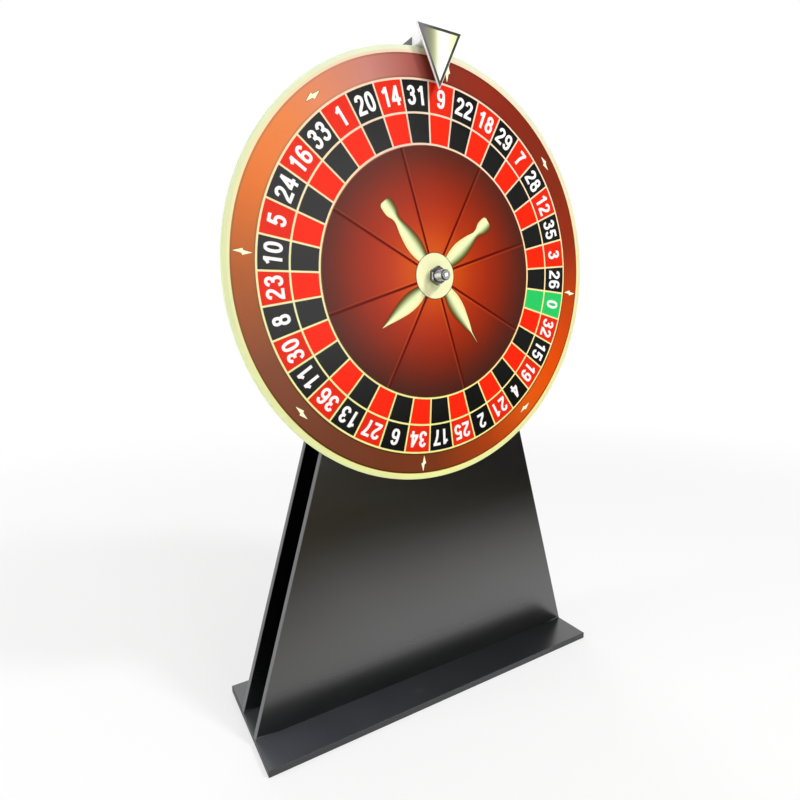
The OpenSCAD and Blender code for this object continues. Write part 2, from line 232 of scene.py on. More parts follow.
floor_corners = rectangle(-FLOOR_HALF, FLOOR_HALF, -FLOOR_HALF, FLOOR_HALF)
_, tree = stage_sheet("floor", level(FLOOR_Z, *floor_corners))
paint = fill(tree.nodes["Principled BSDF"], {"Base Color": FLOOR_COLOUR, "Roughness": 0.65,
                                             "Specular IOR Level": 0.2})
glow = add(tree, "Emission", {"Color": WHITE, "Strength": 1.0})
away = add(tree, "VectorMath", {0: (add(tree, "TexCoord"), "Object")}, operation="LENGTH")
fade = fill(mask(tree, (away, "Value"), FADE_START, FADE_END), {"To Min": NEAR_GLOW})
share = maths(tree, "MULTIPLY", fade, bright_rays(tree, SURFACE_FIRST))
blend = add(tree, "MixShader", {0: share, 1: paint, 2: glow})
fill(tree.nodes["Material Output"], {"Surface": blend})
print("floor fades from", FADE_START, "to", FADE_END, "m")

# %% [markdown]
# ## What only reflections see
# If the whole room were white, the black boards and the nut would mirror only white. So a dark ceiling
# hangs in front of the object and a brown cloth lies on the player's side of the floor, both as painted
# dark reflections. The cloth fades in with the distance from the stand and is painted darker towards the
# right. A tall bright window far behind the player and the daylight under it lay a sheen over the left
# half of the wheel's film. Neither the camera nor the lamps see any of this.

# %% Mirrored room
CLOTH_Z, PATCH_Z, CEILING_Z = 0.001, 0.002, 2.5
CLOTH_START, CLOTH_FULL = -0.1, -0.7
CLOTH_SLANT = 0.5
CLOTH_COLOUR = (0.185, 0.155, 0.1, 1.0)
CLOTH_DARK = (0.05, 0.045, 0.034, 1.0)
DARK_FROM, DARK_TO = -0.1, 0.9
WINDOW_GLOW, PATCH_GLOW = 8.2, 2.6
CEILING_COLOUR = (0.04, 0.04, 0.04, 1.0)


def only_mirrored(name, corners, colour):
    """The nodes of a matt sheet that nothing but a reflection can see."""
    sheet, tree = stage_sheet(name, corners)
    sheet.visible_camera = sheet.visible_diffuse = False
    sheet.visible_shadow = sheet.visible_transmission = False
    fill(tree.nodes["Principled BSDF"], {"Base Color": colour, "Roughness": 0.9})
    return tree


def daylight(name, corners, glow):
    """A sheet that only first reflections see, and that shines with the given strength."""
    tree = only_mirrored(name, corners, CEILING_COLOUR)
    strength = maths(tree, "MULTIPLY", first_reflection(tree, SURFACE_FIRST), glow)
    light = add(tree, "Emission", {"Color": WHITE, "Strength": strength})
    fill(tree.nodes["Material Output"], {"Surface": light})


only_mirrored("dark_ceiling", level(CEILING_Z, (-2, -4), (5, -4), (5, -0.5), (-2, -0.5)), CEILING_COLOUR)

cloth_corners = level(CLOTH_Z, (-2, -0.8), (5, -4.5), (5, CLOTH_START), (-2, CLOTH_START))
tree = only_mirrored("brown_cloth", cloth_corners, CLOTH_COLOUR)
spot = object_place(tree)
left_side = maths(tree, "MINIMUM", (spot, "X"), 0.0)
nearer = scaled(tree, left_side, CLOTH_SLANT, (spot, "Y"))
cover = mask(tree, nearer, CLOTH_START, CLOTH_FULL)
# Towards the right the cloth is painted darker: painted shade in the reflections.
right_side = add(tree, "MapRange", {"Value": (spot, "X"), "From Min": DARK_FROM, "From Max": DARK_TO})
cloth_painted_darker_right = add(tree, "Mix", {0: right_side, "A": CLOTH_COLOUR, "B": CLOTH_DARK}, data_type="RGBA")
weave = fill(tree.nodes["Principled BSDF"], {"Base Color": (cloth_painted_darker_right, "Result")})
blend = add(tree, "MixShader", {0: cover, 1: add(tree, "BsdfTransparent"), 2: weave})
fill(tree.nodes["Material Output"], {"Surface": blend})

daylight("window", [(0.85, -6, 0), (3.75, -6, 0), (3.75, -6, 4.3), (0.85, -6, 4.3)], WINDOW_GLOW)
daylight("window_patch", level(PATCH_Z, (0.6, -6), (2.1, -6), (1.7, -2.4), (0.6, -2.4)), PATCH_GLOW)
print("sheets that only reflections see:", "dark_ceiling", "brown_cloth", "window", "window_patch")

# %% [markdown]
# ## From arrays to a piece
# A surface here is an array of points and an array of corner numbers. This helper writes both into a
# mesh, turns all faces outwards, smooths what is round, gives the piece its finishes, and says which
# body it moves with. A Weighted Normal modifier lets the large flat faces set the shading, so a glossy
# board mirrors straight up to its rounded edge. A grid of points is joined into faces by one more helper.

# %% Mesh helpers
def grid_faces(rows, columns, loop_rows=False):
    """Corner numbers of the four-sided faces of a grid of points that is stored row by row. Each row is
    a loop. With loop_rows the last row is joined back to the first as well."""
    row, column = np.mgrid[:rows if loop_rows else rows - 1, :columns]
    row_after = (row + 1) % rows
    column_after = (column + 1) % columns
    corners = [row * columns + column, row * columns + column_after,
               row_after * columns + column_after, row_after * columns + column]
    return np.stack(corners, axis=-1).reshape(-1, 4)


def pairs(u, v):
    """Two rows of numbers as points (u, v)."""
    return np.stack([u, v], axis=-1)


def piece(name, points, faces, finishes, body, slot, replaces=(), zone=None, uv=None, sharp=30.0):
    """A finished object from points in mm. zone gives each face its finish, uv gives each point its
    place on the piece's own map, and edges that turn by more than sharp degrees stay crisp."""
    mesh = bpy.data.meshes.new(name)
    corners = (np.asarray(points, float).reshape(-1, 3) * MM).tolist()
    mesh.from_pydata(corners, [], [list(face) for face in faces])
    shell = bmesh.new()
    shell.from_mesh(mesh)
    bmesh.ops.recalc_face_normals(shell, faces=shell.faces)
    shell.to_mesh(mesh)
    shell.free()
    for finish in finishes:
        mesh.materials.append(finish)
    if zone is not None:
        mesh.polygons.foreach_set("material_index", np.asarray(zone, np.int32))
    if uv is not None:
        owner = np.zeros(len(mesh.loops), np.int32)
        mesh.loops.foreach_get("vertex_index", owner)
        own_map = mesh.uv_layers.new(name="own_map")
        own_map.data.foreach_set("uv", np.asarray(uv, np.float32)[owner].ravel())
    mesh.shade_smooth()
    mesh.set_sharp_from_angle(angle=math.radians(sharp))
    made = bpy.data.objects.new(name, mesh)
    scene.collection.objects.link(made)
    made.modifiers.new("flat_faces_first", "WEIGHTED_NORMAL").keep_sharp = True
    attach(made, body)
    if replaces:
        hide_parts(*replaces)
    print(name, len(mesh.vertices), "points", len(mesh.polygons), "faces")


print("3 looped rows of 4 points have", len(grid_faces(3, 4)), "faces between them")

# %% [markdown]
# ## Turning about the axle
# The wheel, its film, the washers and the nuts are round about one line, the axle. A lathe could be
# copied with the Spin tool; here the same thing is a formula. A closed section in (radius, depth) is
# carried around the axle, so the surface is a ring with no seam and no pole.

# %% Turned shapes
AXLE = 640.0


def round_angles(steps):
    """Evenly spaced angles over one turn."""
    return np.linspace(0.0, 2.0 * np.pi, steps, endpoint=False)


def around_axle(r, y):
    """Rows of radius and depth with one column for each angle a, as points and faces joined in both
    directions. They land at x = r sin a, z = axle + r cos a, with the depth y kept."""
    a = round_angles(r.shape[1])
    points = np.stack([r * np.sin(a), y, AXLE + r * np.cos(a)], axis=-1)
    return points.reshape(-1, 3), grid_faces(*r.shape, loop_rows=True)


def turned(section, steps):
    """Carry a closed section of (radius, depth) points around the axle."""
    rows = np.asarray(section, float)[:, :, None] * np.ones(steps)
    return around_axle(rows[:, 0], rows[:, 1])


def soft_section(inner, outer, back, front, edge, steps=5):
    """A closed rectangle in (radius, depth). Each corner is a quarter circle: its centre, set in by
    edge, plus edge times (cos t, sin t). The front is the smaller depth, nearer the player."""
    t = np.linspace(0.0, np.pi / 2.0, steps)
    arc = edge * pairs(np.cos(t), np.sin(t))
    low, high = min(back, front), max(back, front)
    quarter = np.array([[0.0, 1.0], [-1.0, 0.0]])
    centres = np.array(rectangle(inner + edge, outer - edge, low + edge, high - edge))[[2, 3, 0, 1]]
    turns = [np.linalg.matrix_power(quarter, k) for k in range(4)]
    return np.concatenate([centre + arc @ turn for centre, turn in zip(centres, turns)])


print("a soft washer section has", len(soft_section(8.5, 15.0, -50.3, -53.3, 0.3)), "points")

# %% [markdown]
# ## Node groups for the finishes
# Three effects come back on many pieces: the thin film over a print, the skin of a plastic board, and
# the marks of tools and hands on metal. Each is built once as a node group and placed in every
# material that needs it, with its own values. The groups give only what changes over the surface.

# %% Group helpers
COLOUR, NUMBER = "NodeSocketColor", "NodeSocketFloat"
GIVEN = [("Color", COLOUR), ("Roughness", NUMBER), ("Height", NUMBER)]


def new_group(name, colour, **numbers):
    """An empty node group with a colour and two numbers as inputs, and with what GIVEN lists as
    outputs. It also gives the group's coordinates."""
    group = bpy.data.node_groups.new(name, "ShaderNodeTree")
    inputs = [("Tint", COLOUR, colour)] + [(label, NUMBER, value) for label, value in numbers.items()]
    for label, kind, value in inputs:
        group.interface.new_socket(label, in_out="INPUT", socket_type=kind).default_value = value
    for label, kind in GIVEN:
        group.interface.new_socket(label, in_out="OUTPUT", socket_type=kind)
    ends = group.nodes.new("NodeGroupInput"), group.nodes.new("NodeGroupOutput")
    return group, *ends, add(group, "TexCoord")


def noise(tree, place, scale, detail, stretch=(1.0, 1.0, 1.0), turn=(0.0, 0.0, 0.0)):
    """Noise on object coordinates, stretched and turned by a Mapping node; scale is lumps per metre."""
    mapping = add(tree, "Mapping", {"Vector": (place, "Object"), "Scale": stretch, "Rotation": turn})
    return add(tree, "TexNoise", {"Vector": mapping, "Scale": scale, "Detail": detail})


print("each finish group gives", [label for label, kind in GIVEN])

# %% [markdown]
# ## Film over a print
# The wheel's face is printed paper under a clear glossy film. Up close the ink is a little uneven, the
# film has a soft ripple that bends reflections, and a few dust specks sit on it.

# %% Film group
DUST = (0.72, 0.7, 0.66, 1.0)
SPECK_CHANCE, SPECK_EDGE = (0.86, 0.9), (0.06, 0.03)
SPECK_SHARE = 0.3
DOT_SHARE, DOT_HEIGHT = 0.07, 0.12
HAZE = 0.1
film, given, gives, here = new_group("print_film", WHITE, Gloss=0.16, Mottle=0.1)
clouds = noise(film, here, 14.0, 3.0)
dots = noise(film, here, 1100.0, 1.0)
ripple = noise(film, here, 55.0, 2.0)
specks = add(film, "TexVoronoi", {"Vector": (here, "Object"), "Scale": 150.0})
chance = add(film, "SeparateColor", {"Color": (specks, "Color")})
rare = mask(film, (chance, "Red"), *SPECK_CHANCE)
speck = maths(film, "MULTIPLY", mask(film, (specks, "Distance"), *SPECK_EDGE), rare)
uneven = scaled(film, clouds, (given, "Mottle"), 1.0)
middle = scaled(film, (given, "Mottle"), -0.5, uneven)
tone = maths(film, "SUBTRACT", scaled(film, dots, DOT_SHARE, middle), DOT_SHARE / 2.0)
inked = add(film, "HueSaturation", {"Value": tone, "Color": (given, "Tint")})
dust_share = scaled(film, speck, SPECK_SHARE, 0.0)
dusted = add(film, "Mix", {0: dust_share, "A": inked, "B": DUST}, data_type="RGBA")
hazy = scaled(film, clouds, HAZE, (given, "Gloss"))
fill(gives, {"Color": (dusted, "Result"), "Roughness": scaled(film, speck, SPECK_SHARE, hazy),
             "Height": scaled(film, dots, DOT_HEIGHT, ripple)})
print("film group nodes", len(film.nodes))

# %% [markdown]
# ## Skin of the black board
# The stand is cut from foamed plastic board with a satin black skin. The skin has a fine stipple, soft
# cloudy patches where it was wiped, and a few thin pale scuffs that run across it.

# %% Board group
SCUFFED = (0.2, 0.2, 0.2, 1.0)
FLAT_LEVELS, STEEP_LEVELS, PATCH_LEVELS = (0.69, 0.75), (0.71, 0.77), (0.45, 0.62)
PATCH_SHARE, PATCH_FROM = 0.7, 0.65
WIPED_HAZE, SCUFF_HAZE = 0.06, 0.25
SCUFF_HEIGHT = -0.6
skin, given, gives, here = new_group("board_skin", (0.02, 0.02, 0.02, 1.0), Gloss=0.3, Scuff=0.2)
patches = noise(skin, here, 7.0, 4.0)
stipple = noise(skin, here, 1500.0, 2.0)
wiped = noise(skin, here, 9.0, 3.0, (1.0, 1.0, 7.0), (0.0, 0.5, 0.0))
flat_marks = noise(skin, here, 5.0, 2.0, (3.0, 3.0, 90.0), (0.0, 0.9, 0.0))
steep_marks = noise(skin, here, 5.0, 2.0, (80.0, 80.0, 2.5), (0.0, 0.35, 0.0))
scuffs = maths(skin, "MAXIMUM", mask(skin, flat_marks, *FLAT_LEVELS), mask(skin, steep_marks, *STEEP_LEVELS))
broken = maths(skin, "MULTIPLY", scuffs, mask(skin, patches, *PATCH_LEVELS))
worn = maths(skin, "MULTIPLY", broken, (given, "Scuff"))
tone = scaled(skin, patches, PATCH_SHARE, PATCH_FROM)
shade = add(skin, "HueSaturation", {"Value": tone, "Color": (given, "Tint")})
scuffed = add(skin, "Mix", {0: worn, "A": shade, "B": SCUFFED}, data_type="RGBA")
dull = scaled(skin, wiped, WIPED_HAZE, (given, "Gloss"))
fill(gives, {"Color": (scuffed, "Result"), "Roughness": scaled(skin, worn, SCUFF_HAZE, dull),
             "Height": scaled(skin, worn, SCUFF_HEIGHT, stipple)})
print("board group nodes", len(skin.nodes))

# %% [markdown]
# ## Marks on metal
# Turned metal shows fine rings about its axis, and every handled piece has smudges and small scratches.
# The rings come from noise that reads only the distance from the axle, so they stay round.

# %% Metal group
RING_SCALE = 2600.0
SMUDGE_SHARE, SMUDGE_FROM = 0.3, 0.85
SMUDGE_HAZE, SCRATCH_HAZE = 0.16, 0.1
SCRATCH_HEIGHT = 0.25
marks, given, gives, here = new_group("metal_marks", (0.6, 0.6, 0.6, 1.0), Polish=0.2, Rings=0.5)
flat = add(marks, "Mapping", {"Vector": (here, "Object"), "Location": (0.0, 0.0, -AXLE * MM),
                              "Scale": (1.0, 0.0, 1.0)})
away = add(marks, "VectorMath", {0: flat}, operation="LENGTH")
rings = add(marks, "TexNoise", {"Scale": RING_SCALE, "Detail": 2.0}, noise_dimensions="1D")
fill(rings, {"W": (away, "Value")})
smudge = noise(marks, here, 120.0, 3.0)
scratch = noise(marks, here, 260.0, 2.0, (1.0, 14.0, 1.0), (0.4, 0.3, 0.0))
grooves = maths(marks, "MULTIPLY", rings, (given, "Rings"))
tone = scaled(marks, smudge, SMUDGE_SHARE, SMUDGE_FROM)
coloured = add(marks, "HueSaturation", {"Value": tone, "Color": (given, "Tint")})
greasy = scaled(marks, smudge, SMUDGE_HAZE, (given, "Polish"))
fill(gives, {"Color": coloured, "Roughness": scaled(marks, scratch, SCRATCH_HAZE, greasy),
             "Height": scaled(marks, scratch, SCRATCH_HEIGHT, grooves)})
print("metal group nodes", len(marks.nodes))

# %% [markdown]
# ## A material around a group
# Each finish is one Principled shader. Numbers that are the same all over the piece sit on the
# shader's own sockets. What the group works out feeds colour, roughness and a small bump.

# %% Finish helper
INK_GLOSS = 0.18
INK_BUMP = 0.12, 0.2


def new_finish(name, group, tint, bump, **values):
    """A material whose shader takes colour, roughness and bump from a node group. tint is a colour in
    linear light, or a function that adds nodes and returns the one that gives the colour. bump is
    (strength, depth in mm). The other values go on the group's sockets, or else on the shader's."""
    material = bpy.data.materials.new(name)
    material.use_nodes = True
    tree = material.node_tree
    shader = tree.nodes["Principled BSDF"]
    effect = add(tree, "Group", node_tree=group)
    for label, value in values.items():
        fill(effect if label in effect.inputs else shader, {label.replace("_", " "): value})
    fill(effect, {"Tint": tint(tree) if callable(tint) else tint})
    relief = add(tree, "Bump", {"Strength": bump[0], "Distance": bump[1] * MM, "Height": (effect, "Height")})
    fill(shader, {"Base Color": effect, "Roughness": (effect, "Roughness"), "Normal": relief})
    return material


def ink(name, colour, mottle=0.1, shine=0.05):
    """Printed ink under the film. colour is a screen colour, or a function as in new_finish."""
    tint = colour if callable(colour) else srgb(*colour)
    return new_finish(name, film, tint, INK_BUMP, Gloss=INK_GLOSS, Mottle=mottle, Specular_IOR_Level=shine)


def ramp(tree, value, *stops):
    """A colour ramp that reads value, from (place, screen colour) stops."""
    node = add(tree, "ValToRGB", {"Fac": value})
    bar = node.color_ramp.elements
    while len(bar) < len(stops):
        bar.new(1.0)
    for element, (place, colour) in zip(bar, stops):
        element.position = place
        element.color = srgb(*colour)
    return node


print("helpers for finishes:", new_finish.__name__, ink.__name__, ramp.__name__)

# %% [markdown]
# ## Colour that follows the wheel
# The print's colours change with the distance from the axle and around the rim, and some of the ramps
# also carry painted sheen and highlights. An image could hold that, but two short ramps are enough: a
# Mapping node moves the middle of the coordinates to the axle, and a ramp turns the distance or the
# angle into colour.

# %% Colour by place
PRINT_R = 291.3


def from_axle(tree, middle=(0.0, 0.0)):
    """The place on the wheel's face in shares of the print's radius, from the axle or from near it."""
    size = 1.0 / (PRINT_R * MM)
    return add(tree, "Mapping", {"Vector": (add(tree, "TexCoord"), "Object"), "Scale": (size, 0.0, size),
                                 "Location": (-middle[0], 0.0, -AXLE * MM * size - middle[1])})


def by_distance(*stops, middle=(0.0, 0.0)):
    """A colour function for ink: the distance from the axle, or from near it, turned into colour."""
    def colour(tree):
        away = add(tree, "VectorMath", {0: from_axle(tree, middle)}, operation="LENGTH")
        return ramp(tree, (away, "Value"), *stops)
    return colour


def by_angle(*stops):
    """A colour function for ink: the angle around the axle, clockwise from the bottom, as 0 to 1."""
    def colour(tree):
        face = add(tree, "SeparateXYZ", {0: from_axle(tree)})
        angle = maths(tree, "ARCTAN2", (face, "X"), (face, "Z"))
        return ramp(tree, scaled(tree, angle, 0.5 / math.pi, 0.5), *stops)
    return colour


def by_x(half, *stops):
    """A colour function: the x coordinate from -half to half, in mm, as 0 to 1, turned into colour."""
    def colour(tree):
        along = scaled(tree, (object_place(tree), "X"), 0.5 / (half * MM), 0.5)
        return ramp(tree, along, *stops)
    return colour


# The paper is yellow at the bottom and pinker around the top, greyest on the upper left.
cream_shades = by_angle(
    (0.0, (242, 241, 150)), (0.12, (233, 232, 155)), (0.24, (235, 234, 174)), (0.36, (244, 218, 174)),
    (0.445, (232, 207, 182)), (0.556, (241, 214, 183)), (0.62, (245, 217, 186)), (0.76, (255, 227, 161)),
    (0.88, (251, 228, 152)), (1.0, (242, 241, 150)))
cream_ink = ink("cream_ink", cream_shades, mottle=0.06)
print("first finish:", cream_ink.name)

# %% [markdown]
# ## The wheel's board
# Under the film is a round pale board, 8 mm thick. A plain cylinder would have knife edges; the real
# rim is broken by sanding, and its bright edge is what shows all round the print. The section is a
# rectangle with small round corners, turned about the axle.

# %% Wheel board
WHEEL_R = 300.0
BOARD_BACK, BOARD_FRONT = -41.9, -49.9
BOARD_EDGE = 0.7
SPINDLE_BORE = 8.3
RING_STEPS = 360

# The rim's pale yellow is painted paler and bluer on the upper left and top: a painted highlight.
rim_colour_and_highlight = by_angle(
    (0.0, (234, 239, 162)), (0.14, (224, 231, 175)), (0.28, (216, 222, 172)), (0.42, (219, 228, 193)),
    (0.6, (219, 220, 193)), (0.76, (222, 219, 163)), (0.9, (229, 231, 165)), (1.0, (234, 239, 162)))
rim_board = new_finish("pale_rim_board", film, rim_colour_and_highlight, (0.25, 0.25), Gloss=0.34, Mottle=0.12,
                       Specular_IOR_Level=0.15)
board_section = soft_section(SPINDLE_BORE, WHEEL_R, BOARD_BACK, BOARD_FRONT, BOARD_EDGE)
piece("wheel_board", *turned(board_section, RING_STEPS), [rim_board], "wheel", "wheel_board", ["wheel_disc"])

# %% [markdown]
# ## The print, in layers
# The wheel's face is one printed sheet. It could be painted on a flat disc with an image, but then its
# lines would be only as sharp as the image. Here each ink is a very thin closed plate, stacked in
# steps of a few hundredths of a millimetre inside the sheet's own thickness, so every line is crisp
# at any distance. The lowest plate is the cream paper, which shows between all the others.

# %% Paper and layers
SHEET_R = 294.4
SHEET_BACK, PAPER_FRONT = -49.88, -50.02
SHEET_EDGE = 0.03
INK_STEP, INK_ROOT = 0.055, 0.02


def layer(n):
    """Back and front depth of an ink layer: each starts in the paper and ends n steps in front of it."""
    return PAPER_FRONT + INK_ROOT, PAPER_FRONT - n * INK_STEP


def ring_plate(inner, outer, n):
    """A flat ring of ink between two radii, in shares of the print's radius."""
    return turned(rectangle(inner * PRINT_R, outer * PRINT_R, *layer(n)), RING_STEPS)


def joined(plates):
    """Several plates as one: their points in a row, and each one's corner numbers moved along."""
    starts = np.cumsum([0] + [len(points) for points, faces in plates])
    points = np.concatenate([points for points, faces in plates])
    faces = np.concatenate([faces + start for (_, faces), start in zip(plates, starts)])
    return points, faces


def printed(name, plate, *inks, **more):
    """A piece of the wheel's print from its points and faces."""
    piece(name, *plate, inks, "wheel", "wheel_print", **more)


paper_section = soft_section(SPINDLE_BORE, SHEET_R, SHEET_BACK, PAPER_FRONT, SHEET_EDGE, 3)
printed("print_paper", turned(paper_section, RING_STEPS), cream_ink, replaces=["face_sheet"])

# %% [markdown]
# ## The cone of colour
# The middle of the print fades from orange at the hub to a dark brown red at the number ring, like a
# lit wooden cone. Its colour depends only on the distance from a place a little above and left of the
# axle, and that shift paints in the light falling from above.

# %% Cone
# The fade's middle is shifted up and a little left of the axle, which paints in light from above.
CONE_PAINTED_LIGHT_MIDDLE = -0.014, 0.025
CONE_INNER, CONE_OUTER = 0.035, 0.606

cone_fade_and_painted_light = by_distance(
    (0.10, (203, 79, 6)), (0.17, (195, 66, 5)), (0.25, (177, 50, 5)), (0.34, (157, 40, 6)),
    (0.44, (131, 35, 8)), (0.53, (99, 31, 14)), (0.61, (73, 31, 20)), middle=CONE_PAINTED_LIGHT_MIDDLE)
cone_ink = ink("cone_ink", cone_fade_and_painted_light, mottle=0.12, shine=0.057)
printed("cone_print", ring_plate(CONE_INNER, CONE_OUTER, 1), cone_ink)

# %% [markdown]
# ## The outer band
# Outside the numbers runs a brown band, printed to shine orange in two opposite places like polished
# wood. Its colour follows the angle, and so do its thin edge lines; on the upper left both are painted
# paler and pinker, a painted sheen.

# %% Outer band
BAND = 0.8975, 0.997
EDGE_LINES = (0.8955, 0.9025), (0.9905, 0.9985), (0.603, 0.6065)

# The orange glints are print; the paler pink on the upper left is painted sheen.
band_print_and_sheen = by_angle(
    (0.0, (118, 54, 25)), (0.09, (112, 59, 37)), (0.18, (127, 72, 49)), (0.25, (172, 91, 45)),
    (0.31, (223, 115, 46)), (0.36, (229, 128, 65)), (0.40, (217, 132, 96)), (0.44, (196, 128, 116)),
    (0.475, (166, 92, 83)), (0.5, (128, 48, 34)), (0.55, (139, 43, 27)), (0.6, (128, 41, 23)),
    (0.665, (128, 40, 17)), (0.72, (144, 42, 16)), (0.78, (194, 66, 8)), (0.83, (223, 74, 2)),
    (0.88, (224, 88, 14)), (0.94, (166, 62, 18)), (1.0, (118, 54, 25)))
band_ink = ink("band_ink", band_print_and_sheen, mottle=0.12)
printed("outer_band", ring_plate(*BAND, 1), band_ink)

# The edge lines carry the same painted sheen on the upper left.
band_line_print_and_sheen = by_angle(
    (0.0, (88, 46, 8)), (0.12, (84, 48, 10)), (0.24, (138, 88, 44)), (0.34, (198, 118, 66)),
    (0.42, (196, 132, 108)), (0.5, (110, 44, 30)), (0.66, (112, 38, 12)), (0.78, (134, 48, 6)),
    (0.9, (140, 60, 10)), (1.0, (88, 46, 8)))
line_ink = ink("band_line_ink", band_line_print_and_sheen, mottle=0.15)
printed("band_lines", joined([ring_plate(*edges, 2) for edges in EDGE_LINES]), line_ink)

# %% [markdown]
# ## Thin plates with two edges
# Pockets, lines, arms and figures are all flat strips. A strip is described by its left and right edge
# lines; at every step a small section of four corners joins the two edges at two depths. A second
# helper turns copies of a strip around the axle, all at once.

# %% Strips
def strip(left, right, back, front, closed=False):
    """A thin plate between two edge lines of (across, up) points. Each step is a section of four
    corners, left and right at two depths; the sections are joined in a row, or in a loop."""
    steps = len(left)
    corners = np.stack([left, left, right, right], axis=1)
    depth = np.broadcast_to(np.array([back, front, front, back])[None, :, None], (steps, 4, 1))
    points = np.concatenate([corners, depth], axis=2).reshape(-1, 3)
    faces = grid_faces(steps, 4, loop_rows=closed)
    if not closed:
        ends = np.arange(4) + np.array([[0], [4 * (steps - 1)]])
        faces = np.concatenate([faces, ends])
    return points, faces


def on_wheel(plate, angles, out=0.0):
    """Copies of a plate around the axle. A corner (across, up, depth) turned clockwise by a lands at
    x = across cos a + (out + up) sin a, z = axle - across sin a + (out + up) cos a, y = depth."""
    points, faces = plate
    a = np.radians(np.atleast_1d(np.asarray(angles, float)))[:, None]
    across, up, depth = points.T
    x = across * np.cos(a) + (out + up) * np.sin(a)
    z = AXLE - across * np.sin(a) + (out + up) * np.cos(a)
    y = np.broadcast_to(depth, x.shape)
    placed = np.stack([x, y, z], axis=-1).reshape(-1, 3)
    starts = np.arange(len(a))[:, None, None] * len(points)
    return placed, (faces[None] + starts).reshape(-1, 4)


def arc_plate(inner, outer, half_turn, gap, n, steps=9):
    """A pocket: the plate between two arcs about the axle, with sides parallel to the pocket's edge.
    Half of the gap, in mm, is left free along both sides, so the angle shrinks by gap / (2 r)."""
    radius = np.array([[outer], [inner]]) * PRINT_R
    a = np.linspace(-1.0, 1.0, steps) * (half_turn - gap / (2.0 * radius))
    return strip(*pairs(radius * np.sin(a), radius * np.cos(a)), *layer(n))


print("one pocket has", len(arc_plate(0.75, 0.88, 0.085, 2.4, 1)[0]), "points")

# %% [markdown]
# ## The pockets
# There are 37 pockets in two rings, in the traditional order of the game: a green zero, then red and
# black by turns. One pocket of each ring is drawn at the top and turned into its places. The red under
# the numbers is a little deeper than the red of the plain ring inside.

# %% Pockets
ORDER = [0, 32, 15, 19, 4, 21, 2, 25, 17, 34, 6, 27, 13, 36, 11, 30, 8, 23, 10, 5, 24, 16, 33, 1, 20,
         14, 31, 9, 22, 18, 29, 7, 28, 12, 35, 3, 26]
ZERO_AT = 99.9
PITCH = 360.0 / len(ORDER)
POCKET_GAP = 2.5
POCKET_EDGES = (0.6155, 0.7425), (0.7515, 0.8865)
pocket_angles = ZERO_AT + PITCH * np.arange(len(ORDER))

half_pitch = math.radians(PITCH / 2.0)
inner_pocket, outer_pocket = (arc_plate(*edges, half_pitch, POCKET_GAP, 1) for edges in POCKET_EDGES)

POCKET_INKS = {
    "green": ([ink("green_ink", (42, 198, 98))], pocket_angles[:1]),
    "red": ([ink("red_ink", (249, 38, 10), mottle=0.07, shine=0.035),
             ink("number_red_ink", (228, 39, 14), mottle=0.07, shine=0.035)], pocket_angles[1::2]),
    "black": ([ink("black_ink", (13, 14, 12), mottle=0.3, shine=0.085)], pocket_angles[2::2]),
}
for shade_name, (inks, angles) in POCKET_INKS.items():
    rings = [on_wheel(inner_pocket, angles), on_wheel(outer_pocket, angles)]
    zone = np.repeat([0, len(inks) - 1], [len(faces) for points, faces in rings])
    printed("pockets_" + shade_name, joined(rings), *inks, zone=zone)

# %% [markdown]
# ## Lines on the cone
# Eight thin dark lines run from the hub to the pockets. Each has a slightly lighter line along one
# side, so it looks like a joint between two pieces of wood. Both turn darker towards the edge of the
# cone, so their colour follows the distance from the axle as well.

# %% Cone lines
LINE_ANGLES = 27.1 + 45.0 * np.arange(8)
LINE_ENDS = 0.1, 0.604
DARK_SIDE, JOINT, LIGHT_SIDE = -0.0085, 0.0032, 0.0125


def spoke(low, high):
    """A straight strip along the radius, from low to high across, in shares of the print's radius."""
    up = np.array(LINE_ENDS) * PRINT_R
    left, right = (pairs(np.full(2, side * PRINT_R), up) for side in (low, high))
    return strip(left, right, *layer(2))


dark_red = by_distance((0.12, (104, 8, 2)), (0.40, (100, 10, 2)), (0.50, (90, 18, 4)),
                       (0.60, (78, 22, 10)))
light_red = by_distance((0.12, (206, 84, 20)), (0.30, (172, 56, 15)), (0.40, (152, 50, 18)),
                        (0.52, (124, 45, 25)), (0.60, (108, 46, 32)))
dark_line = ink("cone_line_ink", dark_red, mottle=0.2, shine=0.03)
light_line = ink("cone_light_ink", light_red, mottle=0.2, shine=0.04)
printed("cone_lines", on_wheel(spoke(DARK_SIDE, JOINT), LINE_ANGLES), dark_line)
printed("cone_line_lights", on_wheel(spoke(JOINT, LIGHT_SIDE), LINE_ANGLES), light_line)

# %% [markdown]
# ## Smooth outlines
# A turned arm or a figure is drawn with a handful of points, and the curve between them is a
# Catmull-Rom curve: it passes through every point and leaves it in line with its neighbours.

# %% Smooth path
CURVE_STEPS = 6


def smooth_path(points):
    """Catmull-Rom: between b and c, with neighbours a and d, the curve is half of
    2b + (c - a) t + (2a - 5b + 4c - d) t^2 + (3b - a - 3c + d) t^3, for t from 0 to 1."""
    p = np.asarray(points, float)
    p = np.concatenate([2 * p[:1] - p[1:2], p, 2 * p[-1:] - p[-2:-1]])
    a, b, c, d = (p[k:len(p) - 3 + k, None] for k in range(4))
    t = np.linspace(0.0, 1.0, CURVE_STEPS, endpoint=False)[:, None]
    curve = 0.5 * (2 * b + (c - a) * t + (2 * a - 5 * b + 4 * c - d) * t ** 2
                   + (3 * b - a - 3 * c + d) * t ** 3)
    return np.concatenate([curve.reshape(-1, p.shape[1]), p[-2:-1]])


print("a path of 3 points becomes", len(smooth_path([(0, 0), (1, 2), (3, 2)])), "points")

# %% [markdown]
# ## The four arms
# The print shows four turned arms around the hub, drawn with light from one side: cream on one edge,
# olive on the other. The two upper arms end in a knob. The two lower ones end in a point, the right
# one with a thin tail, and both lean a little. Half of the width is a smooth curve along the arm; the
# arm's own map runs across it, and a ramp shades it.

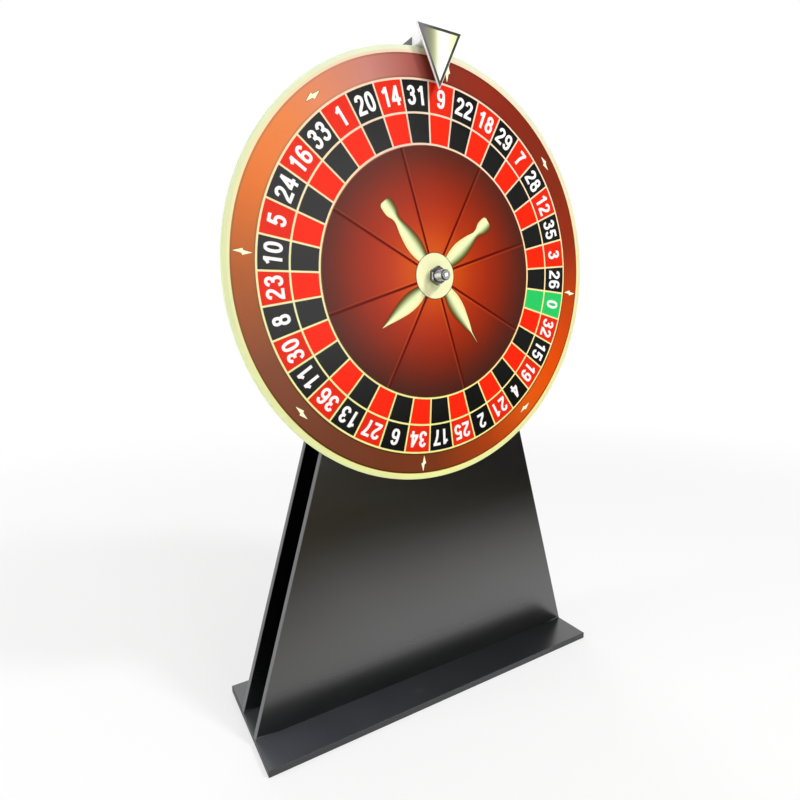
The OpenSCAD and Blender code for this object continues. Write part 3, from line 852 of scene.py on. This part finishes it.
# %% Arms
ARM_BODY = [(0.095, 0.024), (0.12, 0.0315), (0.14, 0.0365), (0.16, 0.0402), (0.185, 0.0422),
            (0.21, 0.0415)]
KNOB_ARM = ARM_BODY + [
    (0.24, 0.0374), (0.27, 0.0312), (0.30, 0.0228), (0.32, 0.0175), (0.335, 0.0168), (0.352, 0.0212),
    (0.368, 0.0298), (0.382, 0.0335), (0.405, 0.0345), (0.425, 0.0318), (0.434, 0.0225)]
POINT_ARM = ARM_BODY + [
    (0.24, 0.0384), (0.27, 0.0322), (0.30, 0.0249), (0.33, 0.0168), (0.355, 0.0098), (0.375, 0.0048),
    (0.392, 0.0008)]
TAIL_ARM = ARM_BODY + [
    (0.24, 0.0382), (0.27, 0.0315), (0.30, 0.0246), (0.325, 0.0178), (0.345, 0.0112), (0.36, 0.0055),
    (0.375, 0.0030), (0.40, 0.0018), (0.425, 0.0005)]
ARMS = (  # outline, angles, lean, pivot of the lean
    (KNOB_ARM, [49.6, 319.6], 0.0, 0.0),
    (TAIL_ARM, [139.6], 0.076, 0.225),
    (POINT_ARM, [229.6], 0.045, 0.27),
)
OUTLINE_GROW = 1.0


def arm_plate(outline, lean, pivot, grow, n):
    """A strip along the radius whose edges stand at plus and minus the smooth half-width. Its middle
    line is on the radius, or leans across it: lean times the distance beyond the pivot."""
    radius, half = smooth_path(outline).T * PRINT_R
    middle = lean * (radius - pivot * PRINT_R)
    half = half + grow
    return strip(pairs(middle - half, radius), pairs(middle + half, radius), *layer(n))


def all_arms(grow, n):
    """The four arms in their places, wider by grow on both sides."""
    return joined([on_wheel(arm_plate(outline, lean, pivot, grow, n), angles)
                   for outline, angles, lean, pivot in ARMS])


def arm_colour(tree):
    """The arm's own map runs 0 to 1 across it, and a ramp gives the light and the shaded side."""
    own = add(tree, "SeparateXYZ", {0: add(tree, "UVMap", uv_map="own_map")})
    return ramp(tree, own, (0.0, (250, 214, 146)), (0.14, (250, 236, 172)), (0.36, (240, 247, 194)),
                (0.55, (226, 236, 182)), (0.70, (182, 194, 136)), (0.83, (124, 126, 72)),
                (0.93, (96, 82, 34)), (1.0, (92, 64, 20)))


arms = all_arms(0.0, 4)
across = np.tile([0.0, 0.0, 1.0, 1.0], len(arms[0]) // 4)
printed("hub_arms", arms, ink("arm_ink", arm_colour, mottle=0.05), uv=pairs(across, np.zeros_like(across)))
printed("arm_outlines", all_arms(OUTLINE_GROW, 3), ink("arm_outline_ink", (92, 38, 9)))

# %% [markdown]
# ## The hub spot and the rim sparks
# A cream spot with a thin dark outline lies under the nut. On the outer band sit eight small cream
# sparks, half of them along the radius and half along the rim. A spark is a strip whose two edges
# bend at different places, which gives its zigzag outline.

# %% Hub spot and sparks
HUB_SPOT, HUB_OUTLINE = (0.0295, 0.1105), (0.1, 0.114)
hub_cream = ink("hub_cream_ink", (241, 242, 190), mottle=0.05)
brown_outline = ink("brown_outline_ink", (96, 50, 22))
printed("hub_spot", ring_plate(*HUB_SPOT, 5), hub_cream)
printed("hub_spot_outline", ring_plate(*HUB_OUTLINE, 4), brown_outline)

SPARK_R = 0.9475
SPARK_HALF_LENGTH, SPARK_HALF_WIDTH = 11.8, 4.2
SPARK_ANGLES = np.array([[4.6], [49.6]]) + 90.0 * np.arange(4)
SPARK_GROW = 0.4


def spark(grow, n, along_rim):
    """A zigzag diamond. Along its length the upper edge rises to a corner and drops back, the lower
    edge does the same the other way round, and both ends are points."""
    run = np.array([-1.0, -0.1, 0.0, 0.1, 1.0])
    high = np.interp(run, [-1.0, 0.0, 0.1, 1.0], [0.03, 1.0, 0.42, 0.03])
    low = np.interp(run, [-1.0, -0.1, 0.0, 1.0], [-0.03, -0.42, -1.0, -0.03])
    along = run * (SPARK_HALF_LENGTH + grow)
    edges = high * SPARK_HALF_WIDTH + grow, low * SPARK_HALF_WIDTH - grow
    return strip(*(pairs(along, edge) if along_rim else pairs(-edge, along) for edge in edges), *layer(n))


def sparks(grow, n):
    """Four sparks along the radius and four along the rim, at their places on the band."""
    return joined([on_wheel(spark(grow, n, along_rim), angles, SPARK_R * PRINT_R)
                   for along_rim, angles in zip((False, True), SPARK_ANGLES)])


printed("rim_sparks", sparks(0.0, 3), ink("spark_ink", (255, 250, 206)))
printed("rim_spark_outlines", sparks(SPARK_GROW, 2), brown_outline)

# %% [markdown]
# ## The figures
# Every outer pocket carries its number in bold white figures that read from the middle of the wheel.
# Blender has text objects, but its own font is light and has a foot under the 1. So each figure is
# drawn with a broad pen: a few pen strokes, each an oval or a path through a few points. Their unit
# is the figure's height, with the origin in its middle.

# %% Pen strokes
SQUARENESS = 0.86
OVAL_STEPS = 40


def oval(x, y, wide, high):
    """A squarish oval: x and y follow the cosine and sine raised to a power below 1."""
    t = round_angles(OVAL_STEPS)
    wave = pairs(np.cos(t), np.sin(t))
    return np.array([x, y]) + np.array([wide, high]) * np.sign(wave) * np.abs(wave) ** SQUARENESS


SIX = [[(0.185, 0.245), (0.125, 0.375), (0.0, 0.42), (-0.125, 0.35), (-0.18, 0.17), (-0.19, -0.04),
        (-0.187, -0.185)], oval(0.0, -0.185, 0.187, 0.235)]
PEN_STROKES = {
    "0": [oval(0.0, 0.0, 0.187, 0.42)],
    "1": [[(0.07, -0.5), (0.07, 0.5)], [(-0.17, 0.235), (-0.05, 0.305), (0.045, 0.43)]],
    "2": [[(-0.185, 0.20), (-0.145, 0.35), (0.0, 0.42), (0.145, 0.35), (0.18, 0.22), (0.12, 0.05),
           (-0.02, -0.12), (-0.14, -0.27), (-0.185, -0.39)], [(-0.275, -0.415), (0.27, -0.415)]],
    "3": [[(-0.18, 0.24), (-0.12, 0.37), (0.0, 0.42), (0.125, 0.365), (0.165, 0.245), (0.12, 0.115),
           (0.0, 0.055), (-0.07, 0.05)], [(-0.07, 0.05), (0.03, 0.045), (0.145, -0.03), (0.19, -0.18),
           (0.135, -0.355), (0.0, -0.42), (-0.135, -0.365), (-0.19, -0.22)]],
    "4": [[(0.10, -0.5), (0.10, 0.5)], [(-0.285, -0.205), (0.285, -0.205)], [(0.085, 0.43), (-0.215, -0.19)]],
    "5": [[(-0.17, 0.415), (0.235, 0.415)], [(-0.125, 0.47), (-0.175, -0.02)],
          [(-0.185, -0.015), (-0.06, 0.085), (0.07, 0.075), (0.165, -0.015), (0.19, -0.17), (0.135, -0.35),
           (0.0, -0.42), (-0.13, -0.37), (-0.19, -0.235)]],
    "6": SIX,
    "7": [[(-0.265, 0.415), (0.265, 0.415)], [(0.19, 0.42), (0.06, 0.2), (-0.045, -0.1), (-0.085, -0.5)]],
    "8": [oval(0.0, 0.235, 0.152, 0.187), oval(0.0, -0.19, 0.187, 0.232)],
    "9": [[(-x, -y) for x, y in SIX[0]], -SIX[1]],
}
print("pen strokes for", " ".join(PEN_STROKES))

# %% [markdown]
# ## The numbers on the pockets
# A stroke becomes a strip of even width. The figures of a number stand side by side, and the number is
# turned into its pocket.

# %% Numbers
FIGURE_HEIGHT = 0.0825 * PRINT_R
FIGURE_STEP = 0.645
FIGURE_R = 0.8205
FIGURE_LAYER, STROKE_STEP = 5, 0.2
PEN_HALF = 0.086


def pen_stroke(path, n):
    """A strip of even width: every path point steps to both sides along the path's normal."""
    closed = isinstance(path, np.ndarray)
    line = path if closed else smooth_path(path)
    if closed:
        ahead = np.roll(line, -1, axis=0) - np.roll(line, 1, axis=0)
    else:
        ahead = np.gradient(line, axis=0)
    normal = pairs(-ahead[:, 1], ahead[:, 0]) / np.linalg.norm(ahead, axis=1, keepdims=True)
    left, right = line + PEN_HALF * normal, line - PEN_HALF * normal
    return strip(left * FIGURE_HEIGHT, right * FIGURE_HEIGHT, *layer(n), closed)


def number_plates(number, angle):
    """The pen strokes of a number, its figures side by side and centred on the pocket. Strokes that
    cross lie at slightly different depths, so no two faces share a plane."""
    figures = str(number)
    plates = []
    for k, figure in enumerate(figures):
        shift = (k - (len(figures) - 1) / 2.0) * FIGURE_STEP * FIGURE_HEIGHT
        for order, path in enumerate(PEN_STROKES[figure]):
            points, faces = pen_stroke(path, FIGURE_LAYER - STROKE_STEP * order)
            plates.append(on_wheel((points + [shift, 0.0, 0.0], faces), angle, FIGURE_R * PRINT_R))
    return plates


white_ink = ink("white_figure_ink", (250, 246, 244), mottle=0.05)
all_figures = [plate for place in zip(ORDER, pocket_angles) for plate in number_plates(*place)]
printed("pocket_numbers", joined(all_figures), white_ink)

# %% [markdown]
# ## Bright hardware
# A plated nut and washer hold the wheel, and the threaded end of the spindle stands out of the nut.
# The nut's flats and the turned corners at its ends meet in curved lines. A cylinder with six sides
# has none of these, so the nut's surface is worked out along the angle: on the end it leaves a circle
# and climbs a cone until it meets the flat, whose distance depends on the angle. The corners keep the
# bright plating; the flats get a grey copy of it and the end a dark copy, as painted dark reflections.

# %% Nut and washers
def metal(name, colour, polish, rings, bump=(0.2, 0.05)):
    """A metal finish from the metal group; its colour is in linear light."""
    return new_finish(name, marks, (*colour, 1.0), bump, Polish=polish, Rings=rings, Metallic=1.0)


chrome = metal("bright_plating", (0.86, 0.87, 0.87), 0.06, 0.5, (0.15, 0.05))
# The grey and dark copies of the plating paint in dark reflections on the nut and the spindle's ends.
grey_painted_plating = metal("grey_painted_plating", (0.13, 0.13, 0.135), 0.14, 0.3, (0.2, 0.06))
dark_painted_plating = metal("dark_painted_plating", (0.04, 0.037, 0.034), 0.2, 0.6, (0.2, 0.06))
NUT_AF = 24.0
NUT_BORE, NUT_MOUTH = 8.1, 0.9
NUT_CIRCLE = 0.955 * NUT_AF / 2.0
NUT_FRONT, NUT_BACK = -61.3, -53.3
LOCK_FRONT, LOCK_BACK = 41.0, 53.0
NUT_STEPS, CONE_ROWS, CONE_SLOPE = 192, 7, math.radians(30.0)
NUT_SHARP = 22.0
END_ROW, FLAT_ROW = 1, 1 + CONE_ROWS


def nut_rows(end, inward):
    """Rows of radius and of depth along one end of a nut for every angle, from the bore to the flats.
    The flat's radius is half the nut's width over the cosine of the angle from the flat's middle;
    the cone leaves the end's circle at 30 degrees, so its depth grows with the radius times tan 30."""
    a = round_angles(NUT_STEPS)
    flat_r = NUT_AF / 2.0 / np.cos(np.mod(a, np.pi / 3.0) - np.pi / 6.0)
    cone_r = NUT_CIRCLE + np.linspace(0.0, 1.0, CONE_ROWS)[:, None] * (flat_r - NUT_CIRCLE)
    cone_y = end + inward * (cone_r - NUT_CIRCLE) * math.tan(CONE_SLOPE)
    mouth_r = np.array([[NUT_BORE], [NUT_BORE + NUT_MOUTH]]) * np.ones_like(a)
    mouth_y = np.array([[end + inward * NUT_MOUTH], [end]]) * np.ones_like(a)
    return np.array([np.concatenate([mouth_r, cone_r]), np.concatenate([mouth_y, cone_y])])


front, back = nut_rows(NUT_FRONT, 1.0), nut_rows(NUT_BACK, -1.0)
nut = around_axle(*np.concatenate([front, back[:, ::-1]], axis=1))
nut_row = np.arange(len(nut[1])) // NUT_STEPS
# The end takes the dark copy of the plating and the flats the grey copy: painted dark reflections.
nut_zone = np.select([nut_row == END_ROW, nut_row == FLAT_ROW], [1, 2], 0)
piece("hub_nut", *nut, [chrome, dark_painted_plating, grey_painted_plating], "wheel", "bright_steel", ["front_nut"],
      nut_zone, sharp=NUT_SHARP)

WASHER_BORE, WASHER_EDGE, WASHER_STEPS = 8.5, 0.45, 128
for name, outer, back, front, node in (
        ("hub_washer", 12.5, -50.3, NUT_BACK, "front_washer"),
        ("rear_washer_ring", 15.0, LOCK_FRONT, 38.0, "rear_washer")):
    section = soft_section(WASHER_BORE, outer, back, front, WASHER_EDGE)
    piece(name, *turned(section, WASHER_STEPS), [chrome], "wheel", "bright_steel", [node])

# %% [markdown]
# ## The lock nut behind
# The nut at the back has a round collar that grips a nylon ring. Its front end is like the other
# nut's; behind the flats the rows go on over the collar and down to the ring.

# %% Lock nut
COLLAR_R, COLLAR_END = 10.55, 56.35
NYLON_R = 9.66

collar = np.array([(COLLAR_R, LOCK_BACK), (COLLAR_R, COLLAR_END - 0.75), (COLLAR_R - 0.25, COLLAR_END - 0.2),
                   (COLLAR_R - 0.7, COLLAR_END), (NYLON_R, COLLAR_END - 0.15), (NYLON_R, LOCK_BACK),
                   (NUT_BORE, LOCK_BACK)])
near, far = nut_rows(LOCK_FRONT, 1.0), nut_rows(LOCK_BACK, -1.0)
collar_rows = collar.T[:, :, None] * np.ones(NUT_STEPS)
lock_nut = around_axle(*np.concatenate([near, far[:, :1:-1], collar_rows], axis=1))
piece("rear_lock_nut", *lock_nut, [chrome], "wheel", "bright_steel", ["rear_nut"], sharp=NUT_SHARP)

# %% [markdown]
# ## The threaded spindle
# The spindle is a plain bar with a thread at both ends. A thread is a groove that moves along the bar
# by one pitch in each turn, so the radius depends on the depth minus the angle's share of a pitch.
# Rows lie close together where the thread is and far apart on the plain middle.

# %% Spindle
SPINDLE_R = 7.98
SPINDLE_STEPS = 72
SPINDLE_SHARP = 40.0
THREAD_PITCH, THREAD_DEPTH, THREAD_ROW = 2.0, 1.15, 0.17
FRONT_THREAD, REAR_THREAD = -50.5, 41.5
PLAIN_FROM, PLAIN_TO, PLAIN_ROWS = -50.0, 40.5, 12
REAR_FROM = 41.0
CREST, FLANK = 0.12, 0.72
RUN_OUT = 2.0
TIP_Y, TAIL_Y = -77.3, 59.4
END_BEVEL = 1.5
DIMPLE_R, DIMPLE_DEPTH = 2.2, 1.1

depth = np.concatenate([
    np.arange(TIP_Y, PLAIN_FROM, THREAD_ROW), np.linspace(PLAIN_FROM, PLAIN_TO, PLAIN_ROWS),
    np.arange(REAR_FROM, TAIL_Y, THREAD_ROW), [TAIL_Y]])[:, None]
turn_share = np.mod(depth / THREAD_PITCH - round_angles(SPINDLE_STEPS) / (2.0 * np.pi), 1.0)
groove = np.clip((np.abs(2.0 * turn_share - 1.0) - CREST) / FLANK, 0.0, 1.0)
threaded = (np.clip((FRONT_THREAD - depth) / RUN_OUT, 0.0, 1.0)
            + np.clip((depth - REAR_THREAD) / RUN_OUT, 0.0, 1.0))
to_end = np.minimum(depth - TIP_Y, TAIL_Y - depth)
wall_r = np.minimum(SPINDLE_R - groove * threaded * THREAD_DEPTH, SPINDLE_R - END_BEVEL + to_end)

rows_r = np.pad(wall_r, [(1, 1), (0, 0)], constant_values=DIMPLE_R)
rows_y = np.broadcast_to(np.pad(depth, [(1, 1), (0, 0)], mode="edge"), rows_r.shape)
points, _ = around_axle(rows_r, rows_y)
tips = [[0.0, TIP_Y + DIMPLE_DEPTH, AXLE], [0.0, TAIL_Y - DIMPLE_DEPTH, AXLE]]
walls = grid_faces(*rows_r.shape)
first = np.arange(SPINDLE_STEPS)
after = (first + 1) % SPINDLE_STEPS
last = len(points) - SPINDLE_STEPS
start_cap = np.stack([after, first, np.full(SPINDLE_STEPS, len(points))], axis=-1)
end_cap = np.stack([first + last, after + last, np.full(SPINDLE_STEPS, len(points) + 1)], axis=-1)

bright_thread = metal("bright_thread", (0.95, 0.94, 0.9), 0.14, 0.2, (0.15, 0.05))
# Bevels take the dark plating and flat ends the grey plating: painted dark reflections on the steel.
wall_row = np.arange(len(walls)) // SPINDLE_STEPS
bevelled = np.r_[0.0, to_end.ravel()][wall_row] < END_BEVEL
flat_end = np.isin(wall_row, [0, len(rows_r) - 2])
spindle_zone = np.pad(np.select([flat_end, bevelled], [2, 1], 0), (0, 2 * SPINDLE_STEPS))
piece("threaded_spindle", np.concatenate([points, tips]),
      walls.tolist() + start_cap.tolist() + end_cap.tolist(), [bright_thread, dark_painted_plating, grey_painted_plating],
      "wheel", "bright_steel", ["spindle"], spindle_zone, sharp=SPINDLE_SHARP)

# %% [markdown]
# ## Board finishes
# The boards have four finishes: the glossy skin of the uprights, which gets duller towards the foot,
# the base's top, painted lighter towards its left end as a painted sheen, and the cut edges of both,
# the uprights' painted lighter than the base's. All use the board group.

# %% Board finishes
FOOT_HALF = 292.0
FOOT_FROM, FOOT_TO = 0.05, 0.2
FOOT_GLOSS, UPRIGHT_GLOSS = 0.26, 0.13

black_skin = new_finish("black_board_skin", skin, srgb(7, 8, 8), (0.05, 0.1), Scuff=0.04,
                        Specular_IOR_Level=1.0, IOR=1.7)
tree = black_skin.node_tree
foot = add(tree, "MapRange", {"Value": (object_place(tree), "Z"), "From Min": FOOT_FROM,
                              "From Max": FOOT_TO, "To Min": FOOT_GLOSS, "To Max": UPRIGHT_GLOSS})
fill(tree.nodes["Group"], {"Gloss": foot})

# The base top is painted lighter towards its left end: a painted sheen.
base_top_painted_sheen = by_x(FOOT_HALF, (0.0, (72, 75, 80)), (0.16, (65, 68, 73)), (0.33, (58, 61, 65)),
                   (0.5, (45, 48, 49)), (0.67, (39, 41, 42)), (0.9, (31, 32, 33)))
base_top_skin = new_finish("base_top_sheen_skin", skin, base_top_painted_sheen, (0.08, 0.1), Gloss=FOOT_GLOSS, Scuff=0.12,
                       Specular_IOR_Level=1.0, IOR=1.62)
# The cut edge of the uprights, rail and bridge is painted lighter than the base's: painted light.
cut_edge = new_finish("black_board_cut_edge", skin, srgb(98, 99, 99), (0.3, 0.2), Gloss=0.5, Scuff=0.2,
                      Specular_IOR_Level=0.5)
base_edge = new_finish("base_cut_edge", skin, srgb(56, 57, 58), (0.3, 0.2), Gloss=0.5, Scuff=0.2,
                       Specular_IOR_Level=0.38)
print("board finishes:", black_skin.name, base_top_skin.name, cut_edge.name, base_edge.name)

# %% [markdown]
# ## The two uprights
# Each upright is a tall board, wide at the foot and narrow at the top, with a round opening for the
# spindle. The board is seen from the opening: in every direction the distance to the outline is the
# smallest of the distances to its four sides. So the whole board is a ring of rows: out over the
# front, round the rounded edge, back over the rear and through the opening. The foot reaches into the
# base by as much as the edge is rounded, so no light shows under it.

# %% Uprights
TOP_HALF = 27.0
BASE_TOP, BRIDGE_FOOT = 10.0, 923.0
INNER_Y, OUTER_Y = 26.0, 36.0
OPENING_R, OPENING_EDGE = 15.0, 0.4
EDGE_R = 0.8
HAIR = 0.05
BOARD_STEPS, EDGE_ROWS = 96, 4
FACE_ROWS = 1, 1 + 2 * EDGE_ROWS
TINY, FAR = 1e-6, 1e9


def side_lines(corners):
    """Outward normals and distances from the origin of the sides of an anticlockwise polygon."""
    run = np.roll(corners, -1, axis=0) - corners
    normal = pairs(run[:, 1], -run[:, 0]) / np.linalg.norm(run, axis=1, keepdims=True)
    return normal, np.sum(normal * corners, axis=1)


def quarter_round(radius):
    """A rounded edge, as how far it is set in and how deep it is: radius times 1 - sin t and
    radius times 1 - cos t, for t from 0 to 90 degrees."""
    t = np.linspace(0.0, np.pi / 2.0, EDGE_ROWS)
    return radius * (1.0 - np.sin(t)), radius * (1.0 - np.cos(t))


def upright(name, front, rear, node):
    """A board around the axle's opening. In the direction u the outline set in by d is at the smallest
    (distance of a side - d) / (its normal . u) of the sides that u points to."""
    foot, top = BASE_TOP - EDGE_R - AXLE, BRIDGE_FOOT - AXLE
    corners = np.array([[-FOOT_HALF, foot], [FOOT_HALF, foot], [TOP_HALF, top], [-TOP_HALF, top]])
    normal, distance = side_lines(corners)
    plain = np.linspace(-np.pi, np.pi, BOARD_STEPS, endpoint=False)
    a = np.sort(np.concatenate([plain, np.arctan2(corners[:, 1], corners[:, 0])]))
    facing = pairs(np.cos(a), np.sin(a)) @ normal.T
    inset, depth = quarter_round(EDGE_R)
    reach = (distance - inset[:, None, None]) / np.maximum(facing, TINY)
    reach = np.where(facing > TINY, reach, FAR).min(axis=2)
    opening = np.array([[OPENING_R], [OPENING_R + OPENING_EDGE]]) * np.ones_like(a)
    r = np.concatenate([opening, reach, reach[::-1], opening[::-1]])
    y = np.concatenate([[front + OPENING_EDGE, front], front + depth,
                        rear - depth[::-1], [rear, rear - OPENING_EDGE]])
    y = np.broadcast_to(y[:, None], r.shape)
    points = np.stack([r * np.cos(a), y, AXLE + r * np.sin(a)], axis=-1)
    row = np.repeat(np.arange(len(r)), len(a))
    zone = np.where(np.isin(row, FACE_ROWS), 0, 1)
    piece(name, points, grid_faces(*r.shape, loop_rows=True), [black_skin, cut_edge], "stand", "black_board",
          [node], zone)


upright("front_board", -OUTER_Y + HAIR, -INNER_Y, "front_upright")
upright("rear_board", INNER_Y, OUTER_Y - HAIR, "rear_upright")

# %% [markdown]
# ## Blocks and plates with soft edges
# The base, the rail, the bridge, the spacer and the pointer are flat plates with straight sides. Their
# outline has small round corners, and it is carried through a quarter-round edge at both faces: where
# the edge sets the outline in by d, each corner's circle is smaller by d about the same middle.

# %% Soft plates
ARC_STEPS = 7


def set_in(corners, margin):
    """The polygon's corners after every side has moved in by margin: where the moved sides meet."""
    normal, distance = side_lines(np.asarray(corners, float))
    moved = distance - margin
    ways = np.stack([np.roll(normal, 1, axis=0), normal], axis=1)
    return np.linalg.solve(ways, pairs(np.roll(moved, 1), moved)[..., None])[..., 0]


def soft_plate(corners, low, high, corner_r, edge_r, lying=False):
    """A plate from an anticlockwise convex outline. A standing plate has its outline in (x, z) and its
    thickness along y; a lying one has its outline in (x, y) and its thickness along z."""
    normal, _ = side_lines(np.asarray(corners, float))
    angle = np.arctan2(normal[:, 1], normal[:, 0])
    before = np.roll(angle, 1)
    sweep = np.mod(angle - before, 2.0 * np.pi)
    phi = (before[:, None] + sweep[:, None] * np.linspace(0.0, 1.0, ARC_STEPS)).ravel()
    middle = np.repeat(set_in(corners, corner_r), ARC_STEPS, axis=0)
    inset, depth = quarter_round(edge_r)
    radius = corner_r - np.concatenate([inset, inset[::-1]])
    outline = middle + radius[:, None, None] * pairs(np.cos(phi), np.sin(phi))
    rows, columns = outline.shape[:2]
    height = np.concatenate([low + depth, high - depth[::-1]])[:, None] * np.ones(columns)
    u, v = outline[..., 0], outline[..., 1]
    points = np.stack([u, v, height] if lying else [u, height, v], axis=-1)
    sides = grid_faces(rows, columns).tolist()
    caps = [list(range(columns)), list(range((rows - 1) * columns, rows * columns))]
    return points, sides + caps, [1] * len(sides) + [0, 0]


print("a soft square plate has", len(soft_plate(rectangle(0, 10, 0, 10), 0, 4, 1.0, 0.8)[1]), "faces")

# %% [markdown]
# ## Base, rail and bridge
# The base is a flat board on the floor. The rail hides between the uprights and ties them together,
# and the bridge closes the gap at the top. All three are cut from the same black board.

# %% Base, rail and bridge
BASE_DEPTH = 96.0
RAIL_HALF, RAIL_TOP = 210.0, 50.0
BRIDGE_TOP = 956.0
CORNER_R = 1.2
for name, corners, low, high, node, finishes in (
        ("base_board", rectangle(-FOOT_HALF, FOOT_HALF, -BASE_DEPTH, BASE_DEPTH), HAIR, BASE_TOP,
         "base_plate", [base_top_skin, base_edge]),
        ("rail_block", rectangle(-RAIL_HALF, RAIL_HALF, -INNER_Y, INNER_Y), BASE_TOP, RAIL_TOP,
         "lower_rail", [black_skin, cut_edge]),
        ("bridge_top", rectangle(-TOP_HALF, TOP_HALF, -OUTER_Y, OUTER_Y - HAIR), BRIDGE_FOOT,
         BRIDGE_TOP - HAIR, "bridge_block", [black_skin, cut_edge])):
    points, faces, zone = soft_plate(corners, low, high, CORNER_R, EDGE_R, lying=True)
    piece(name, points, faces, finishes, "stand", "black_board", [node], zone)

# %% [markdown]
# ## The pointer
# The pointer is a white plastic triangle with its point down. A dark border is printed on it, and
# inside the border a band of metallic shades runs from grey over white to a pale yellow green. The
# shades follow x only, so a ramp reads the x coordinate of the piece.

# %% Pointer
POINTER_TOP, POINTER_TIP = 962.0, 886.0
POINTER_HALF = 36.0
POINTER_FRONT, POINTER_BACK = -63.3, -60.3
TIP_R = 0.36
FILM_BUMP = 0.1, 0.15
triangle = [(0.0, POINTER_TIP), (POINTER_HALF, POINTER_TOP), (-POINTER_HALF, POINTER_TOP)]

white_plate = new_finish("pointer_white", film, srgb(250, 247, 244), FILM_BUMP, Gloss=0.3, Mottle=0.06,
                         Specular_IOR_Level=0.4)
border_shades = by_x(POINTER_HALF, (0.0, (116, 116, 119)), (0.25, (100, 100, 102)), (0.42, (62, 63, 60)),
                     (1.0, (56, 58, 52)))
border_ink = new_finish("pointer_border", film, border_shades, FILM_BUMP, Gloss=0.2, Mottle=0.15,
                        Specular_IOR_Level=0.35)
face_shades = by_x(
    POINTER_HALF, (0.08, (108, 107, 110)), (0.2, (124, 123, 119)), (0.29, (138, 140, 106)),
    (0.37, (170, 175, 128)), (0.45, (224, 230, 202)), (0.54, (249, 251, 245)), (0.66, (247, 250, 238)),
    (0.77, (234, 244, 200)), (0.88, (222, 240, 166)), (0.96, (236, 245, 208)))
metal_print = new_finish("pointer_metal_print", film, face_shades, FILM_BUMP, Gloss=0.22, Mottle=0.05,
                         Specular_IOR_Level=0.3)
for name, margin, low, high, edge, finish, slot, node in (
        ("pointer_body", 0.0, POINTER_FRONT, POINTER_BACK, 0.3, white_plate, "pointer_board",
         ["pointer_plate"]),
        ("pointer_dark_border", 0.6, POINTER_FRONT - 0.12, POINTER_FRONT + 0.05, 0.03, border_ink,
         "pointer_print", ["pointer_print"]),
        ("pointer_bright_face", 4.2, POINTER_FRONT - 0.28, POINTER_FRONT - 0.05, 0.03, metal_print,
         "pointer_print", [])):
    points, faces, _ = soft_plate(set_in(triangle, margin), low, high, TIP_R, edge)
    piece(name, points, faces, [finish], "stand", slot, node)

# %% [markdown]
# ## The spacer
# A pale acrylic block holds the pointer in front of the wheel's rim. It is a plain block with polished
# edges, so it is another soft plate. The acrylic is milky: light gets about 8 mm into it, so its shaded
# side stays pale.

# %% Spacer
SPACER_FOOT = 942.0
SPACER_CORNER, SPACER_EDGE = 1.0, 0.6
LIGHT_DEPTH = 0.008
pale_acrylic = new_finish("pale_acrylic", film, srgb(250, 251, 246), (0.08, 0.15), Gloss=0.25, Mottle=0.06,
                          Subsurface_Weight=1.0, Subsurface_Radius=(1.0, 1.0, 1.0),
                          Subsurface_Scale=LIGHT_DEPTH)
spacer_corners = rectangle(-TOP_HALF, TOP_HALF, POINTER_BACK, -OUTER_Y)
points, faces, _ = soft_plate(spacer_corners, SPACER_FOOT, BRIDGE_TOP, SPACER_CORNER, SPACER_EDGE, lying=True)
piece("pointer_block", points, faces, [pale_acrylic], "stand", "pale_acrylic", ["pointer_spacer"])

# %% [markdown]
# ## Finishes for the solids that stay
# The bearing housings, bearings, sleeves, flange and screws already have their true shape, so only
# their materials change. Each gets the metal group with its own colour and polish.

# %% Finishes on the solids
turned_steel = metal("turned_steel", (0.46, 0.47, 0.48), 0.24, 0.9)
ground_steel = metal("ground_bearing_steel", (0.58, 0.59, 0.60), 0.12, 0.5)
dark_screw = metal("blackened_screw", (0.09, 0.092, 0.096), 0.3, 0.0)
cast_housing = metal("turned_cast_housing", (0.40, 0.41, 0.42), 0.32, 1.0, (0.35, 0.08))
cage_brass = metal("machined_brass", (0.62, 0.42, 0.14), 0.22, 0.4)
blue_nylon = new_finish("blue_nylon", film, srgb(70, 111, 173), (0.15, 0.1), Gloss=0.38, Mottle=0.1,
                        Specular_IOR_Level=0.4)

KEPT = {
    turned_steel: ["hub_flange", "hub_screws", "centre_sleeve", "rear_sleeve", "front_housing_screws",
                   "rear_housing_screws", "bracket_screws"],
    ground_steel: ["front_outer_ring", "rear_outer_ring", "front_inner_ring", "rear_inner_ring",
                   "front_balls", "rear_balls"],
    dark_screw: ["base_screws", "rail_screws", "bridge_screws"],
    cast_housing: ["front_housing", "rear_housing"],
    cage_brass: ["front_cage", "rear_cage"],
    blue_nylon: ["rear_nut_insert"],
}
for finish, names in KEPT.items():
    for name in names:
        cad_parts[name].material_slots[0].material = finish
print("solids with new finishes:", sum(len(names) for names in KEPT.values()))
